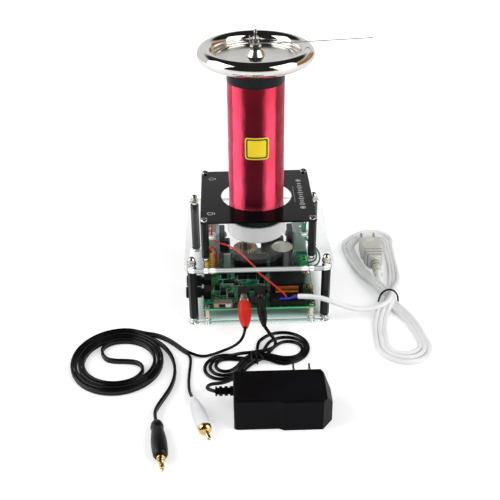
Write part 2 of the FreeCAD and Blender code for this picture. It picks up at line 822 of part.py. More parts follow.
def power_transistors():
    pieces = []
    for side in (-1, 1):
        x1 = sink_x - pad_t
        body = box(x1 - fet_t, x1, fet_y - fet_w / 2, fet_y + fet_w / 2, fet_low, fet_low + fet_h)
        front = [e for e in body.Edges if abs(e.CenterOfMass.x - (x1 - fet_t)) < 0.01]
        body = body.makeChamfer(0.6, front)
        z = fet_low + fet_h - fet_hole_drop
        body = body.cut(rod(upper_thread_d + screw_hole_gap, (x1 - fet_t - 1, fet_y, z),
                            (x1 + 1, fet_y, z)))
        lead_x = x1 - 2.4
        for i in (-1, 0, 1):
            y = fet_y + i * fet_lead_pitch
            lead = box(lead_x - 0.3, lead_x + 0.3, y - 0.6, y + 0.6, board_top, fet_low + 0.5)
            body = body.fuse(lead)
        pieces.append(body if side > 0 else body.mirror(V(0, 0, 0), V(1, 0, 0)))
    return group(pieces)


# ---------------------------------------------------------------- wound parts and capacitor
choke_windings = 2
choke_arc = 140.0


def line_choke():
    """A flat ring core with two wound halves that leave it bare between them."""
    x, y = choke_pos
    lay = choke_lay
    z0 = board_top + lay
    core_r0, core_r1 = choke_id / 2 + lay, choke_od / 2 - lay
    core = pipe_ring(2 * core_r1, 2 * core_r0, (x, y, z0), (x, y, z0 + choke_h - 2 * lay))
    pieces = [core]
    gap = 0.1
    for i in range(choke_windings):
        outer = Part.Face(Part.makePolygon([
            V(core_r0 - lay, 0, board_top), V(core_r1 + lay, 0, board_top),
            V(core_r1 + lay, 0, board_top + choke_h), V(core_r0 - lay, 0, board_top + choke_h),
            V(core_r0 - lay, 0, board_top)]))
        inner = Part.Face(Part.makePolygon([
            V(core_r0 - gap, 0, z0 - gap), V(core_r1 + gap, 0, z0 - gap),
            V(core_r1 + gap, 0, z0 + choke_h - 2 * lay + gap),
            V(core_r0 - gap, 0, z0 + choke_h - 2 * lay + gap), V(core_r0 - gap, 0, z0 - gap)]))
        half = outer.cut(inner).revolve(V(0, 0, 0), V(0, 0, 1), choke_arc)
        half.rotate(V(0, 0, 0), V(0, 0, 1), 180 * i + 90 - choke_arc / 2 + 90)
        half.translate(V(x, y, 0))
        pieces.append(half)
    return group(pieces)


def reservoir_can():
    """A snap-in electrolytic: rolled groove near its base, sleeve lip round a plain top."""
    r = can_d / 2
    z0, z1 = board_top, board_top + can_h
    groove = 0.7
    return turned([(0, z0), (r - 0.4, z0), (r, z0 + 0.4), (r, z0 + 3.0), (r - groove, z0 + 3.8),
                   (r, z0 + 4.6), (r, z1 - 0.6), (r - 0.5, z1), (r - 1.6, z1), (r - 1.8, z1 - 0.4),
                   (0, z1 - 0.4)], *can_pos)


trafo_wall = 4.0


def trafo_core():
    """A pair of E cores lying on their side: two ends, an upper, a lower and a middle leg."""
    x0, x1 = trafo_x
    y0, y1 = trafo_y
    z0, z1 = board_top + 1.0, board_top + trafo_h
    block = box(x0, x1, y0, y1, z0, z1)
    window = box(x0 + trafo_wall, x1 - trafo_wall, y0 - 1, y1 + 1, z0 + trafo_leg - 1.6,
                 z1 - trafo_leg + 0.6)
    mid_y, mid_z = (y0 + y1) / 2, (z0 + z1) / 2
    leg = rod(4.4, (x0 + trafo_wall - 0.1, mid_y, mid_z), (x1 - trafo_wall + 0.1, mid_y, mid_z))
    feet = [box(x, x + 3, y0 + 2, y1 - 2, board_top, z0 + 0.1) for x in (x0 + 0.5, x1 - 3.5)]
    return block.cut(window).fuse([leg] + feet).removeSplitter()


winding_bulge = 1.2


def trafo_winding():
    x0, x1 = trafo_x
    y0, y1 = trafo_y
    z0, z1 = board_top + 1.0 + trafo_leg - 1.6, board_top + trafo_h - trafo_leg + 0.6
    gap = 0.15
    body = box(x0 + trafo_wall + gap, x1 - trafo_wall - gap, y0 - winding_bulge,
               y1 + winding_bulge, z0 + gap, z1 - gap)
    long_edges = [e for e in body.Edges if abs(e.tangentAt(e.FirstParameter).x) > 0.99]
    body = body.makeFillet(1.4, long_edges)
    mid_y, mid_z = (y0 + y1) / 2, board_top + 1.0 + (trafo_h - 1.0) / 2
    return body.cut(rod(4.4 + 2 * gap, (x0, mid_y, mid_z), (x1, mid_y, mid_z)))


gold_ribs = 10


def gold_coil():
    """Close turns of gold wire on a former that stands on the board, as one ribbed body."""
    r = gold_coil_d / 2
    former_r = 2.6
    cheek = 0.9
    pitch = (gold_coil_h - 2 * cheek) / gold_ribs
    profile = [(0, board_top), (former_r, board_top), (former_r, board_top + cheek)]
    for i in range(gold_ribs):
        z = board_top + cheek + i * pitch
        profile += [(r - 0.35, z + 0.05 * pitch), (r, z + 0.3 * pitch), (r, z + 0.7 * pitch),
                    (r - 0.35, z + 0.95 * pitch)]
    profile += [(former_r, gold_coil_top - cheek), (former_r, gold_coil_top), (0, gold_coil_top)]
    return turned(profile, *gold_coil_pos)


# ---------------------------------------------------------------- terminals and fuse
lead_entry_d = lead_d + 0.5
cover_entries = [(18.4, -58.4), (24.4, -57.8), (29.4, -56.6)]


def mains_cover():
    """A low black cover over the mains pads, with a wire entry for each lead in its top."""
    x0, x1 = cover_x
    y0, y1 = cover_y
    top = board_top + cover_h
    cover = box(x0, x1, y0, y1, board_top, top)
    upper = [e for e in cover.Edges if abs(e.CenterOfMass.z - top) < 0.01]
    cover = cover.makeFillet(0.8, upper)
    for x, y in cover_entries:
        cover = cover.cut(rod(lead_entry_d, (x, y, top - 3), (x, y, top + 1)))
    return cover


terminal_w = 7.4
terminal_h = 10.0


def coil_terminal():
    x, y = terminal_pos
    half = terminal_pitch + 0.3
    body = box(x - terminal_w / 2, x + terminal_w / 2, y - half, y + half, board_top,
               board_top + terminal_h)
    edge = [e for e in body.Edges if abs(e.CenterOfMass.z - board_top - terminal_h) < 0.01
            and abs(e.tangentAt(e.FirstParameter).y) > 0.99]
    body = body.makeChamfer(1.6, edge)
    for i in (-0.5, 0.5):
        yc = y + i * terminal_pitch
        body = body.cut(rod(3.2, (x, yc, board_top + terminal_h - 3), (x, yc, board_top + 12)))
        body = body.cut(box(x + 1.0, x + terminal_w, yc - 1.5, yc + 1.5, board_top + 1.5,
                            board_top + 5))
    return body


def fuse_holder():
    """A glass fuse with capped ends in two sprung clips."""
    y0, y1 = fuse_y
    z = board_top + fuse_axis_h
    r = fuse_d / 2
    glass = rod(fuse_d - 0.6, (fuse_x, y0, z), (fuse_x, y1, z))
    caps = [rod(fuse_d, (fuse_x, y0, z), (fuse_x, y0 + 6.5, z)),
            rod(fuse_d, (fuse_x, y1 - 6.5, z), (fuse_x, y1, z))]
    pieces = [glass.fuse(caps)]
    wall = 0.6
    gap = 0.05
    for y in (y0 + 1.0, y1 - 6.0):
        cup = pipe_ring(2 * (r + gap + wall), 2 * (r + gap), (fuse_x, y, z), (fuse_x, y + 5.0, z))
        cup = cup.cut(box(fuse_x - 6, fuse_x + 6, y - 1, y + 6, z + 0.45 * r, z + 8))
        foot = box(fuse_x - 2.2, fuse_x + 2.2, y, y + 5.0, board_top, z - r - gap - wall / 2)
        pieces.append(cup.fuse(foot))
    return group(pieces)


# ---------------------------------------------------------------- chips and black blocks
chips = [  # centre x, centre y, size x, size y, height
    (-26.5, -20.6, 10.0, 4.0, 1.8), (-13.6, -13.6, 8.6, 5.2, 3.2), (-5.0, -13.8, 6.4, 6.0, 2.6),
    (-13.9, -33.0, 8.8, 4.4, 1.8), (-3.6, -33.6, 7.6, 4.0, 1.8), (-32.0, -38.8, 4.6, 6.4, 4.4),
    (-31.0, -12.0, 5.0, 5.0, 5.6), (-25.0, -43.5, 5.0, 4.0, 2.2), (-37.4, -31.6, 4.2, 4.2, 5.2),
    (6.2, -37.0, 4.0, 8.0, 3.4), (3.4, -22.0, 4.0, 4.0, 6.0), (-20.0, -24.6, 4.0, 3.0, 1.6),
]
film_block = (-21.0, 9.0, -8.5, 3.5, 13.5)


def board_chips():
    pieces = []
    for x, y, w, d, h in chips:
        chip = box(x - w / 2, x + w / 2, y - d / 2, y + d / 2, board_top, board_top + h)
        top = [e for e in chip.Edges if abs(e.CenterOfMass.z - board_top - h) < 0.01]
        pieces.append(chip.makeChamfer(0.25, top))
    x0, x1, y0, y1, h = film_block
    block = box(x0, x1, y0, y1, board_top, board_top + h)
    top = [e for e in block.Edges if abs(e.CenterOfMass.z - board_top - h) < 0.01]
    pieces.append(block.makeFillet(0.8, top))
    return group(pieces)


# ---------------------------------------------------------------- leads inside the frame
cover_top = board_top + cover_h
gold_coil_top = board_top + gold_coil_h
terminal_entry_z = board_top + 3.25
lead_routes = {
    "red_lead": [(-41.0, -25.5, coil_board_low), (-41.5, -21.0, 84.0), (-41.0, -12.5, 73.0),
                 (-41.4, -7.4, deck2_top + 2.0), (-41.2, -7.2, deck2_low - 0.8), (-36.4, -8.3, 49.6),
                 (-27.4, -12.4, 49.6), (-16.0, -21.0, 46.8), (-3.6, -33.2, 38.4),
                 (7.6, -43.6, 33.4), (16.4, -51.0, 29.2), (21.8, -55.8, 26.2),
                 (24.3, -57.6, 23.4), (24.4, -57.8, cover_top - 2.4)],
    "red_loop": [(-44.0, -5.0, gold_coil_top), (-43.8, -4.9, gold_coil_top + 3.0),
                 (-41.6, -4.3, gold_coil_top + 4.6), (-38.6, -3.4, gold_coil_top + 2.6),
                 (-37.6, -3.0, gold_coil_top - 2.4), (-37.4, -3.2, gold_coil_top - 10.4),
                 (-37.6, -3.0, board_top)],
    "blue_core": [(34.6, -60.0, 25.4), (29.4, -60.3, 24.4), (24.0, -60.4, 23.4),
                  (19.6, -59.8, 23.4), (18.4, -58.5, 22.2), (18.4, -58.4, cover_top - 2.4)],
    "brown_core": [(34.8, -58.6, 25.4), (31.6, -57.4, 25.0), (29.6, -56.7, 23.2),
                   (29.4, -56.6, cover_top - 2.4)],
    "green_one": [(42.5, -5.9, coil_board_low), (42.1, -6.5, 78.0), (42.6, -5.9, deck2_top + 2.0),
                  (42.8, -6.4, deck2_low - 1.4), (46.6, -9.6, 50.4), (52.2, -13.2, 47.2),
                  (56.6, -16.0, 42.0), (57.8, -17.8, 35.6), (56.0, -16.6, 28.8),
                  (52.8, -11.2, 23.8), (51.2, -5.2, 20.6), (49.4, -3.5, terminal_entry_z),
                  (45.4, -3.34, terminal_entry_z)],
    "green_two": [(44.7, -5.7, coil_board_low), (45.1, -6.3, 78.0), (44.4, -5.6, deck2_top + 2.0),
                  (44.6, -5.6, deck2_low - 1.6), (47.6, -6.0, 48.0), (52.0, -8.6, 43.8),
                  (55.2, -11.0, 38.2), (55.2, -10.6, 31.2), (53.6, -5.6, 25.8),
                  (52.0, -0.6, 21.8), (50.0, 1.6, terminal_entry_z),
                  (45.4, 1.74, terminal_entry_z)],
}


def hookup_leads():
    return group([cord(name, route, lead_d) for name, route in lead_routes.items()])


# ================================================================ cords, plugs and adapter
red_nose = (signal_jack_x, jack_front_y - rca_shell_len - 0.3, jack_axis)
red_tail = (signal_jack_x, red_nose[1] - signal_boot_len, jack_axis)
white_tail = (-57.6, -171.0, signal_boot_d / 2)
white_nose = (-47.8, -204.6, signal_boot_d / 2)
stereo_tail = (-84.3, -198.0, stereo_boot_d / 2)
stereo_nose = (-79.2, -234.4, stereo_boot_d / 2)
supply_nose = (supply_jack_x, jack_front_y - supply_ring_len - 0.3, jack_axis)
supply_tail_at = (2.5, -95.1, 19.8)
twin_z = audio_single_d     # a twin stands on edge, its centre this far above the surface
single_z = audio_single_d / 2

mains_route = [(34.6, -60.0, 25.4), (43.4, -63.6, 27.6), (53.4, -67.8, 28.6),
               (63.6, -69.4, 25.4), (73.6, -68.2, 20.0), (83.6, -64.8, 14.0),
               (92.6, -60.4, 9.2), (101.4, -57.6, 7.2), (109.6, -56.4, 7.0)]
split_at = (-62.8, -108.0)
red_route = [red_tail, (-14.4, -105.1, 21.4), (-16.4, -107.6, 16.4), (-20.4, -106.8, 10.2),
             (-26.4, -105.0, 4.8), (-33.6, -105.4, 1.9), (-41.0, -108.8, single_z),
             (-48.8, -112.0, 1.5), (-56.4, -111.6, 2.7), (*split_at, 3 * single_z)]
twin_route = [(*split_at, twin_z), (-67.6, -103.4, twin_z), (-72.2, -97.8, twin_z),
              (-77.6, -91.6, twin_z), (-84.2, -85.8, twin_z), (-92.0, -81.2, twin_z),
              (-101.0, -79.0, twin_z)]
white_route = [(*split_at, single_z), (-61.0, -111.4, single_z), (-60.4, -117.8, single_z),
               (-60.8, -127.0, single_z), (-61.4, -137.6, single_z), (-61.4, -148.6, 1.6),
               (-60.4, -159.0, 2.6), (-58.2, -167.4, 4.9), white_tail]
stereo_route = [(-95.0, -86.8, twin_z), (-87.8, -93.2, twin_z), (-81.2, -102.0, twin_z),
                (-76.0, -113.4, twin_z), (-73.2, -126.4, twin_z), (-73.0, -140.0, twin_z),
                (-75.6, -153.2, twin_z), (-80.4, -165.0, twin_z), (-85.0, -176.0, 3.0),
                (-87.0, -187.0, 4.6), stereo_tail]
supply_route = [supply_tail_at, (4.8, -99.0, 18.0), (8.4, -100.8, 13.4), (11.6, -103.6, 9.8),
                (11.6, -108.4, 8.0), (8.2, -112.8, 7.0), (2.6, -114.6, 4.4)]
tail_route = [(-21.4, -138.6, 3.0), (-27.6, -145.4, 3.4), (-35.2, -152.0, 5.0),
              (-43.2, -157.0, 7.4), (-47.4, -163.4, 10.0), (-45.6, -170.2, 12.6),
              (adapter_x[0] - relief_len, adapter_relief_y, adapter_relief_z)]


def twin_cord(name, points):
    """Two conductors moulded side by side and standing on edge: one tube above the other."""
    raised = [(x, y, z + single_z) for x, y, z in points]
    lowered = [(x, y, z - single_z) for x, y, z in points]
    upper = cord(name + " upper", raised, audio_single_d)
    lower = cord(name + " lower", lowered, audio_single_d)
    return group([upper, lower])


def mains_cord():
    return cord("mains_cord", mains_route, mains_cord_d)


def audio_red_lead():
    return cord("audio_red_lead", red_route, audio_single_d)


def audio_white_lead():
    return cord("audio_white_lead", white_route, audio_single_d)


def audio_twin():
    return twin_cord("audio_twin", twin_route)


def audio_stereo_lead():
    return twin_cord("audio_stereo_lead", stereo_route)


def supply_cord():
    return cord("supply_cord", supply_route, supply_cord_d)


def supply_tail():
    return cord("supply_tail", tail_route, supply_cord_d)


def audio_ring():
    x, y = audio_ring_at
    return pipe_ring(audio_ring_od, audio_ring_id, (x, y, 0), (x, y, 2 * audio_single_d))


def hank(waist, waist_r, waist_h, lobes, height):
    """A tied figure of eight: each lobe is an outer and an inner two-circle outline."""
    body = Part.makeCylinder(waist_r, waist_h, V(*waist, 0))
    rim = [e for e in body.Edges if len(e.Vertexes) == 1 and e.CenterOfMass.z > height]
    body = body.makeFillet(0.3 * waist_r, rim)
    for outer_at, outer_r, hole_at, hole_r, neck_at, neck_r in lobes:
        lobe = two_circle_hull(outer_at, outer_r, waist, waist_r, 0, height)
        lobe = lobe.cut(two_circle_hull(hole_at, hole_r, neck_at, neck_r, -1, height + 1))
        body = body.fuse(lobe)
    return body.removeSplitter()


mains_plug_x = 117.0
mains_lobes = [((116.3, 65.4), 27.6, (116.8, 61.4), 18.8, (118.6, 6.0), 7.4),
               ((121.0, -105.6), 24.2, (122.0, -103.6), 8.6, (121.4, -66.0), 1.8)]
supply_lobes = [((18.4, -102.4), 23.6, (25.0, -105.8), 7.4, (8.0, -113.4), 1.6),
                ((-33.4, -127.2), 17.6, (-32.8, -126.4), 6.6, (-20.0, -121.8), 1.4)]


def mains_hank():
    return hank(mains_tie_at, mains_waist_r, mains_waist_h, mains_lobes, mains_hank_h)


def supply_hank():
    return hank(supply_tie_at, supply_waist_r, supply_waist_h, supply_lobes, supply_hank_h)


tie_t = 1.4
tie_w = 3.0
tie_gap = 0.1
tie_bend = 1.6


def tie_over(at, half_w, h, angle):
    """A flat tie bent over a hank in a round arch, its ends on the surface below."""
    inner = half_w + tie_gap
    outer = inner + tie_t
    roof = h + tie_gap

    def arch(half, width, low, top, bend):
        block = box(-half, half, -width / 2, width / 2, low, top)
        upper = [e for e in block.Edges if abs(e.tangentAt(e.FirstParameter).y) > 0.99
                 and e.CenterOfMass.z > top - 0.01]
        return block.makeFillet(bend, upper)

    strip = arch(outer, tie_w, 0, roof + tie_t, tie_bend + tie_t)
    strip = strip.cut(arch(inner, 2 * tie_w, -1, roof, tie_bend))
    strip.rotate(V(0, 0, 0), V(0, 0, 1), angle)
    strip.translate(V(at[0], at[1], 0))
    return strip


def cord_ties():
    lean = math.degrees(math.atan2(supply_lobes[0][0][1] - supply_lobes[1][0][1],
                                   supply_lobes[0][0][0] - supply_lobes[1][0][0]))
    return group([tie_over(mains_tie_at, mains_waist_r + 0.6, mains_waist_h, 0.0),
                  tie_over(supply_tie_at, supply_waist_r + 3.1, supply_waist_h, lean + 90.0)])


# ---------------------------------------------------------------- moulded plugs
def turned_along(profile, start, towards):
    """A moulding turned about the line from start towards a point; (radius, distance) points."""
    return lay_along(turned(profile), start, towards)


def point_along(start, towards, distance):
    a, b = V(*start), V(*towards)
    p = a + (b - a).normalize() * distance
    return (p.x, p.y, p.z)


signal_boot_shape = [(0, 0), (0.43, 0), (0.48, 0.07), (0.5, 0.3), (0.485, 0.5), (0.42, 0.68),
                     (0.33, 0.84), (0.23, 0.97), (0.19, 1), (0, 1)]
stereo_boot_shape = [(0, 0), (0.34, 0), (0.45, 0.06), (0.49, 0.2), (0.5, 0.35), (0.485, 0.5),
                     (0.43, 0.66), (0.37, 0.8), (0.41, 0.83), (0.41, 0.88), (0.37, 0.95),
                     (0.3, 1), (0, 1)]
supply_boot_shape = [(0, 0), (0.44, 0), (0.49, 0.06), (0.5, 0.5), (0.47, 0.66), (0.38, 0.82),
                     (0.28, 0.95), (0.24, 1), (0, 1)]


def boot(shape, d, length, nose, tail):
    """A turned rubber boot; its shape is in shares of its diameter and its length."""
    return turned_along([(r * d, t * length) for r, t in shape], nose, tail)


def rca_plug_metal(nose, tail):
    """The slit shell and the pin of a phono plug, in front of its boot."""
    ahead = point_along(nose, tail, -rca_shell_len)
    shell = pipe_ring(rca_shell_d, signal_collar_od + 2 * plug_gap, nose, ahead)
    for turn in (45, 135):
        slit = box(-rca_shell_d, rca_shell_d, -0.5, 0.5, 2.4, rca_shell_len + 1)
        slit.rotate(V(0, 0, 0), V(0, 0, 1), turn)
        shell = shell.cut(lay_along_keep(slit, nose, ahead))
    floor = rod(rca_shell_d - 0.4, nose, point_along(nose, ahead, 1.2))
    tip = point_along(nose, ahead, rca_pin_len - rca_pin_d / 2)
    pin = rod(rca_pin_d, nose, tip)
    return shell.fuse([floor, pin, Part.makeSphere(rca_pin_d / 2, V(*tip))])


def lay_along_keep(piece, start, towards):
    """As lay_along, for a piece that has been turned about its own axis already."""
    a, b = V(*start), V(*towards)
    place = FreeCAD.Placement(a, FreeCAD.Rotation(V(0, 0, 1), b - a))
    piece.Placement = place.multiply(piece.Placement)
    return piece


def red_plug():
    """The red boot with its plated shell, pushed on the signal jack."""
    return group([boot(signal_boot_shape, signal_boot_d, signal_boot_len, red_nose, red_tail),
                  rca_plug_metal(red_nose, red_tail)])


def white_plug():
    return group([boot(signal_boot_shape, signal_boot_d, signal_boot_len, white_nose, white_tail),
                  rca_plug_metal(white_nose, white_tail)])


def stereo_plug():
    """The stereo plug: a swollen grip with a ribbed tail, a collar and a three-part pin."""
    ahead = point_along(stereo_nose, stereo_tail, -10)
    r = stereo_pin_d / 2
    collar = 2.6
    end = collar + stereo_pin_len
    ring_at, band_at = end - 7.6, end - 4.2
    pin = [(0, 0), (stereo_collar_d / 2, 0), (stereo_collar_d / 2, collar - 0.7),
           (stereo_collar_d / 2 - 0.7, collar), (r, collar)]
    for z in (ring_at, band_at):
        pin += [(r, z - 0.35), (r - 0.25, z - 0.25), (r - 0.25, z + 0.25), (r, z + 0.35)]
    pin += [(r, end - 3.0), (r - 0.75, end - 2.0), (r - 0.55, end - 1.3), (0.5, end), (0, end)]
    return group([boot(stereo_boot_shape, stereo_boot_d, stereo_boot_len, stereo_nose,
                       stereo_tail), turned_along(pin, stereo_nose, ahead)])


def supply_plug():
    """A slim moulded boot whose barrel is pushed into the supply jack."""
    body = boot(supply_boot_shape, supply_boot_d, supply_boot_len, supply_nose, supply_tail_at)
    tip = (supply_jack_x, supply_nose[1] + supply_barrel_len, jack_axis)
    back = (supply_jack_x, supply_nose[1] - 2.0, jack_axis)
    barrel = pipe_ring(supply_barrel_d, 2.2, back, tip)
    return body.fuse(barrel)


# ---------------------------------------------------------------- mains plug and adapter
plug_body_y = (22.0, 60.0)
plug_body_w = 21.0
plug_body_h = 15.0
plug_relief_end = 2.0
plug_relief_ribs = 4
plug_axis_h = 7.5


def mains_plug():
    """A moulded two-pin plug: shouldered body, finger grooves and a ribbed relief."""
    x = mains_plug_x
    y0, y1 = plug_body_y
    half = plug_body_w / 2
    neck = 5.2
    outline = [V(x - neck, y0, 0), V(x + neck, y0, 0), V(x + half - 1.5, y0 + 9, 0),
               V(x + half - 1.5, y0 + 17, 0), V(x + half, y0 + 19, 0), V(x + half, y1, 0),
               V(x - half, y1, 0), V(x - half, y0 + 19, 0), V(x - half + 1.5, y0 + 17, 0),
               V(x - half + 1.5, y0 + 9, 0), V(x - neck, y0, 0)]
    body = Part.Face(Part.makePolygon(outline)).extrude(V(0, 0, plug_body_h))
    flat = [e for e in body.Edges if abs(e.tangentAt(e.FirstParameter).z) < 0.01]
    body = body.makeFillet(1.4, flat)
    relief = rod(9.0, (x, y0 + 1, plug_axis_h), (x, plug_relief_end, plug_axis_h))
    for i in range(plug_relief_ribs):
        y = plug_relief_end + 3.0 + 4.4 * i
        groove = pipe_ring(12.0, 6.6, (x, y, plug_axis_h), (x, y + 2.0, plug_axis_h))
        relief = relief.cut(groove)
    return group([body.fuse(relief).removeSplitter()] + blades(x, y1, plug_axis_h))


def blade(x, y, z, length):
    """A flat contact blade that points to +Y, its end chamfered, with a hole near the tip."""
    strip = box(x - blade_t / 2, x + blade_t / 2, y, y + length, z - blade_w / 2, z + blade_w / 2)
    tip = [e for e in strip.Edges if abs(e.CenterOfMass.y - y - length) < 0.01
           and abs(e.tangentAt(e.FirstParameter).x) > 0.99]
    strip = strip.makeChamfer(1.2, tip)
    return strip.cut(rod(3.0, (x - 2, y + length - 4.2, z), (x + 2, y + length - 4.2, z)))


def blades(x, y, z):
    return [blade(x + side * blade_pitch / 2, y, z, blade_len) for side in (-1, 1)]


adapter_blade_x = 29.4
adapter_blade_z = 17.6
adapter_step = 2.0          # the blade end of the case is deeper than the rest
adapter_step_x = 10.5
adapter_cut = 8.0


def adapter():
    """The case of the wall adapter, its blade end stepped and its far corners cut off."""
    x0, x1 = adapter_x
    y0, y1 = adapter_y
    cut = adapter_cut
    outline = [V(x0, y0 + adapter_step, 0), V(adapter_step_x - 2, y0 + adapter_step, 0),
               V(adapter_step_x + 2, y0, 0), V(x1 - cut, y0, 0), V(x1, y0 + cut * 1.3, 0),
               V(x1, y1 - cut * 1.6, 0), V(x1 - cut * 0.8, y1, 0), V(x0, y1, 0),
               V(x0, y0 + adapter_step, 0)]
    case = Part.Face(Part.makePolygon(outline)).extrude(V(0, 0, adapter_h))
    left = [e for e in case.Edges if abs(e.tangentAt(e.FirstParameter).z) > 0.99
            and abs(e.CenterOfMass.x - x0) < 0.01]
    case = case.makeFillet(3.0, left)
    rim = [e for e in case.Edges if abs(e.tangentAt(e.FirstParameter).z) < 0.01
           and e.CenterOfMass.z > adapter_h - 0.01]
    case = case.makeFillet(1.6, rim)
    wedge = Part.Face(Part.makePolygon([V(x1 - 5, y0 - 1, adapter_h + 0.01),
                                        V(x1 + 1, y0 - 1, adapter_h + 0.01),
                                        V(x1 + 1, y0 - 1, adapter_h - 12),
                                        V(x1 - 5, y0 - 1, adapter_h + 0.01)]))
    case = case.cut(wedge.extrude(V(0, y1 - y0 + 2, 0)))
    relief = rod(7.6, (x0 + 0.5, adapter_relief_y, adapter_relief_z),
                 (x0 - relief_len, adapter_relief_y, adapter_relief_z))
    for i in range(3):
        x = x0 - 2.6 - 4.2 * i
        relief = relief.cut(pipe_ring(10.0, 5.4, (x, adapter_relief_y, adapter_relief_z),
                                      (x - 1.6, adapter_relief_y, adapter_relief_z)))
    return group([case.fuse(relief)] + blades(adapter_blade_x, y1, adapter_blade_z))


# ================================================================ every node and its maker
makers = {
    "bottom_deck": bottom_deck, "middle_deck": middle_deck, "lower_posts": lower_posts,
    "upper_posts": upper_posts, "acorn_nuts": acorn_nuts, "deck_screws": deck_screws,
    "dome_screws": dome_screws, "grommets": grommets, "coil_board": coil_board,
    "base_cap": base_cap, "coil_tube": coil_tube, "coil_winding": coil_winding,
    "coil_bands": coil_bands, "tube_plug": tube_plug, "ring_electrode": ring_electrode,
    "ring_disc": ring_disc, "top_stud": top_stud, "top_nuts": top_nuts,
    "breakout_wire": breakout_wire, "main_board": main_board,
    "board_standoffs": board_standoffs, "board_screws": board_screws, "pot_bodies": pot_bodies,
    "front_knob": front_knob, "rear_knob": rear_knob, "switch_can": switch_can,
    "switch_slider": switch_slider, "jack_bodies": jack_bodies, "jack_collars": jack_collars,
    "heat_sinks": heat_sinks, "thermal_pads": thermal_pads,
    "power_transistors": power_transistors, "line_choke": line_choke,
    "reservoir_can": reservoir_can, "trafo_core": trafo_core, "trafo_winding": trafo_winding,
    "gold_coil": gold_coil, "mains_cover": mains_cover, "coil_terminal": coil_terminal,
    "fuse_holder": fuse_holder, "board_chips": board_chips, "hookup_leads": hookup_leads,
    "mains_cord": mains_cord, "mains_hank": mains_hank, "mains_plug": mains_plug,
    "cord_ties": cord_ties, "supply_plug": supply_plug, "supply_cord": supply_cord,
    "supply_hank": supply_hank, "supply_tail": supply_tail, "adapter": adapter,
    "red_plug": red_plug, "audio_red_lead": audio_red_lead, "audio_twin": audio_twin,
    "audio_ring": audio_ring, "audio_white_lead": audio_white_lead, "white_plug": white_plug,
    "audio_stereo_lead": audio_stereo_lead, "stereo_plug": stereo_plug,
}

os.makedirs("parts", exist_ok=True)
for node, make in makers.items():
    make().exportStep(f"parts/{node}.step")
print(len(makers), "nodes")
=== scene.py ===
import math
import random

import bmesh
import bpy
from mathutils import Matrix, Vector


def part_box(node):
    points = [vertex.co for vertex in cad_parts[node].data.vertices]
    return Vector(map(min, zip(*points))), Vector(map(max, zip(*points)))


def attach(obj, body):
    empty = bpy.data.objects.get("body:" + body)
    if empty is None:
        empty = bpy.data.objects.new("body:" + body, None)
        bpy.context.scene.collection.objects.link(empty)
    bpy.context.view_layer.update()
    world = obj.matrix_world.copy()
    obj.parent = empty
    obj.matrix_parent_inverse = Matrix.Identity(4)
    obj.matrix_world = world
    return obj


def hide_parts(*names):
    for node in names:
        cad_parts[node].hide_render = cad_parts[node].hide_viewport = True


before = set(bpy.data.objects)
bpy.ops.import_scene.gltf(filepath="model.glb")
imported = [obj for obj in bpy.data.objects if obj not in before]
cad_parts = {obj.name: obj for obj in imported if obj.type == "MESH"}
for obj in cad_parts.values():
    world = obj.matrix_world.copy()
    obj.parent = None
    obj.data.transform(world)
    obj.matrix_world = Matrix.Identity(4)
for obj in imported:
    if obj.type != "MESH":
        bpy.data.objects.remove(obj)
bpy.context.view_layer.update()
MM = 0.001

# ------------------------------------------------------------------ studio and camera
# A pale paper sweep in front of a bright backdrop, lit by a tall soft box at each side of the
# camera. The camera's side of the room stays dark and a warm wall stands on the right, so that
# polished metal has something to show.


def put(tree, kind, inputs=None, **settings):
    """One shader or geometry node; its inputs are values or other nodes' outputs."""
    node = tree.nodes.new(kind)
    for label, value in settings.items():
        setattr(node, label, value)
    for label, value in (inputs or {}).items():
        if isinstance(value, bpy.types.NodeSocket):
            tree.links.new(value, node.inputs[label])
        else:
            node.inputs[label].default_value = value
    return node


def sum_of(tree, operation, a, b=0.0):
    return put(tree, "ShaderNodeMath", {0: a, 1: b}, operation=operation).outputs[0]


def ramp(tree, value, low, high, to_low=0.0, to_high=1.0):
    """A smooth step of a value from one level to another."""
    step = {"Value": value, "From Min": low, "From Max": high, "To Min": to_low, "To Max": to_high}
    return put(tree, "ShaderNodeMapRange", step, interpolation_type="SMOOTHSTEP").outputs["Result"]


def mixed(tree, share, first, second):
    """A colour between two colours."""
    return put(tree, "ShaderNodeMix", {0: share, 6: first, 7: second}, data_type="RGBA").outputs[2]


def own_place(tree):
    """Where a point is on its own object."""
    return put(tree, "ShaderNodeTexCoord").outputs["Object"]


def split(tree, vector):
    """A vector's X, Y and Z."""
    return put(tree, "ShaderNodeSeparateXYZ", {0: vector}).outputs


def seen_rays(tree):
    """1 for the rays that show a background: camera, glossy and transmission rays."""
    path = put(tree, "ShaderNodeLightPath")
    total = sum_of(tree, "ADD", path.outputs["Is Camera Ray"], path.outputs["Is Glossy Ray"])
    total = sum_of(tree, "ADD", total, path.outputs["Is Transmission Ray"])
    return sum_of(tree, "MINIMUM", total, 1.0), path


def material(name):
    """A new material, its node tree and its shader."""
    paint = bpy.data.materials.new(name)
    paint.use_nodes = True
    return paint, paint.node_tree, paint.node_tree.nodes["Principled BSDF"]


def linked(name, data):
    """A new object in the scene."""
    made = bpy.data.objects.new(name, data)
    bpy.context.scene.collection.objects.link(made)
    return made


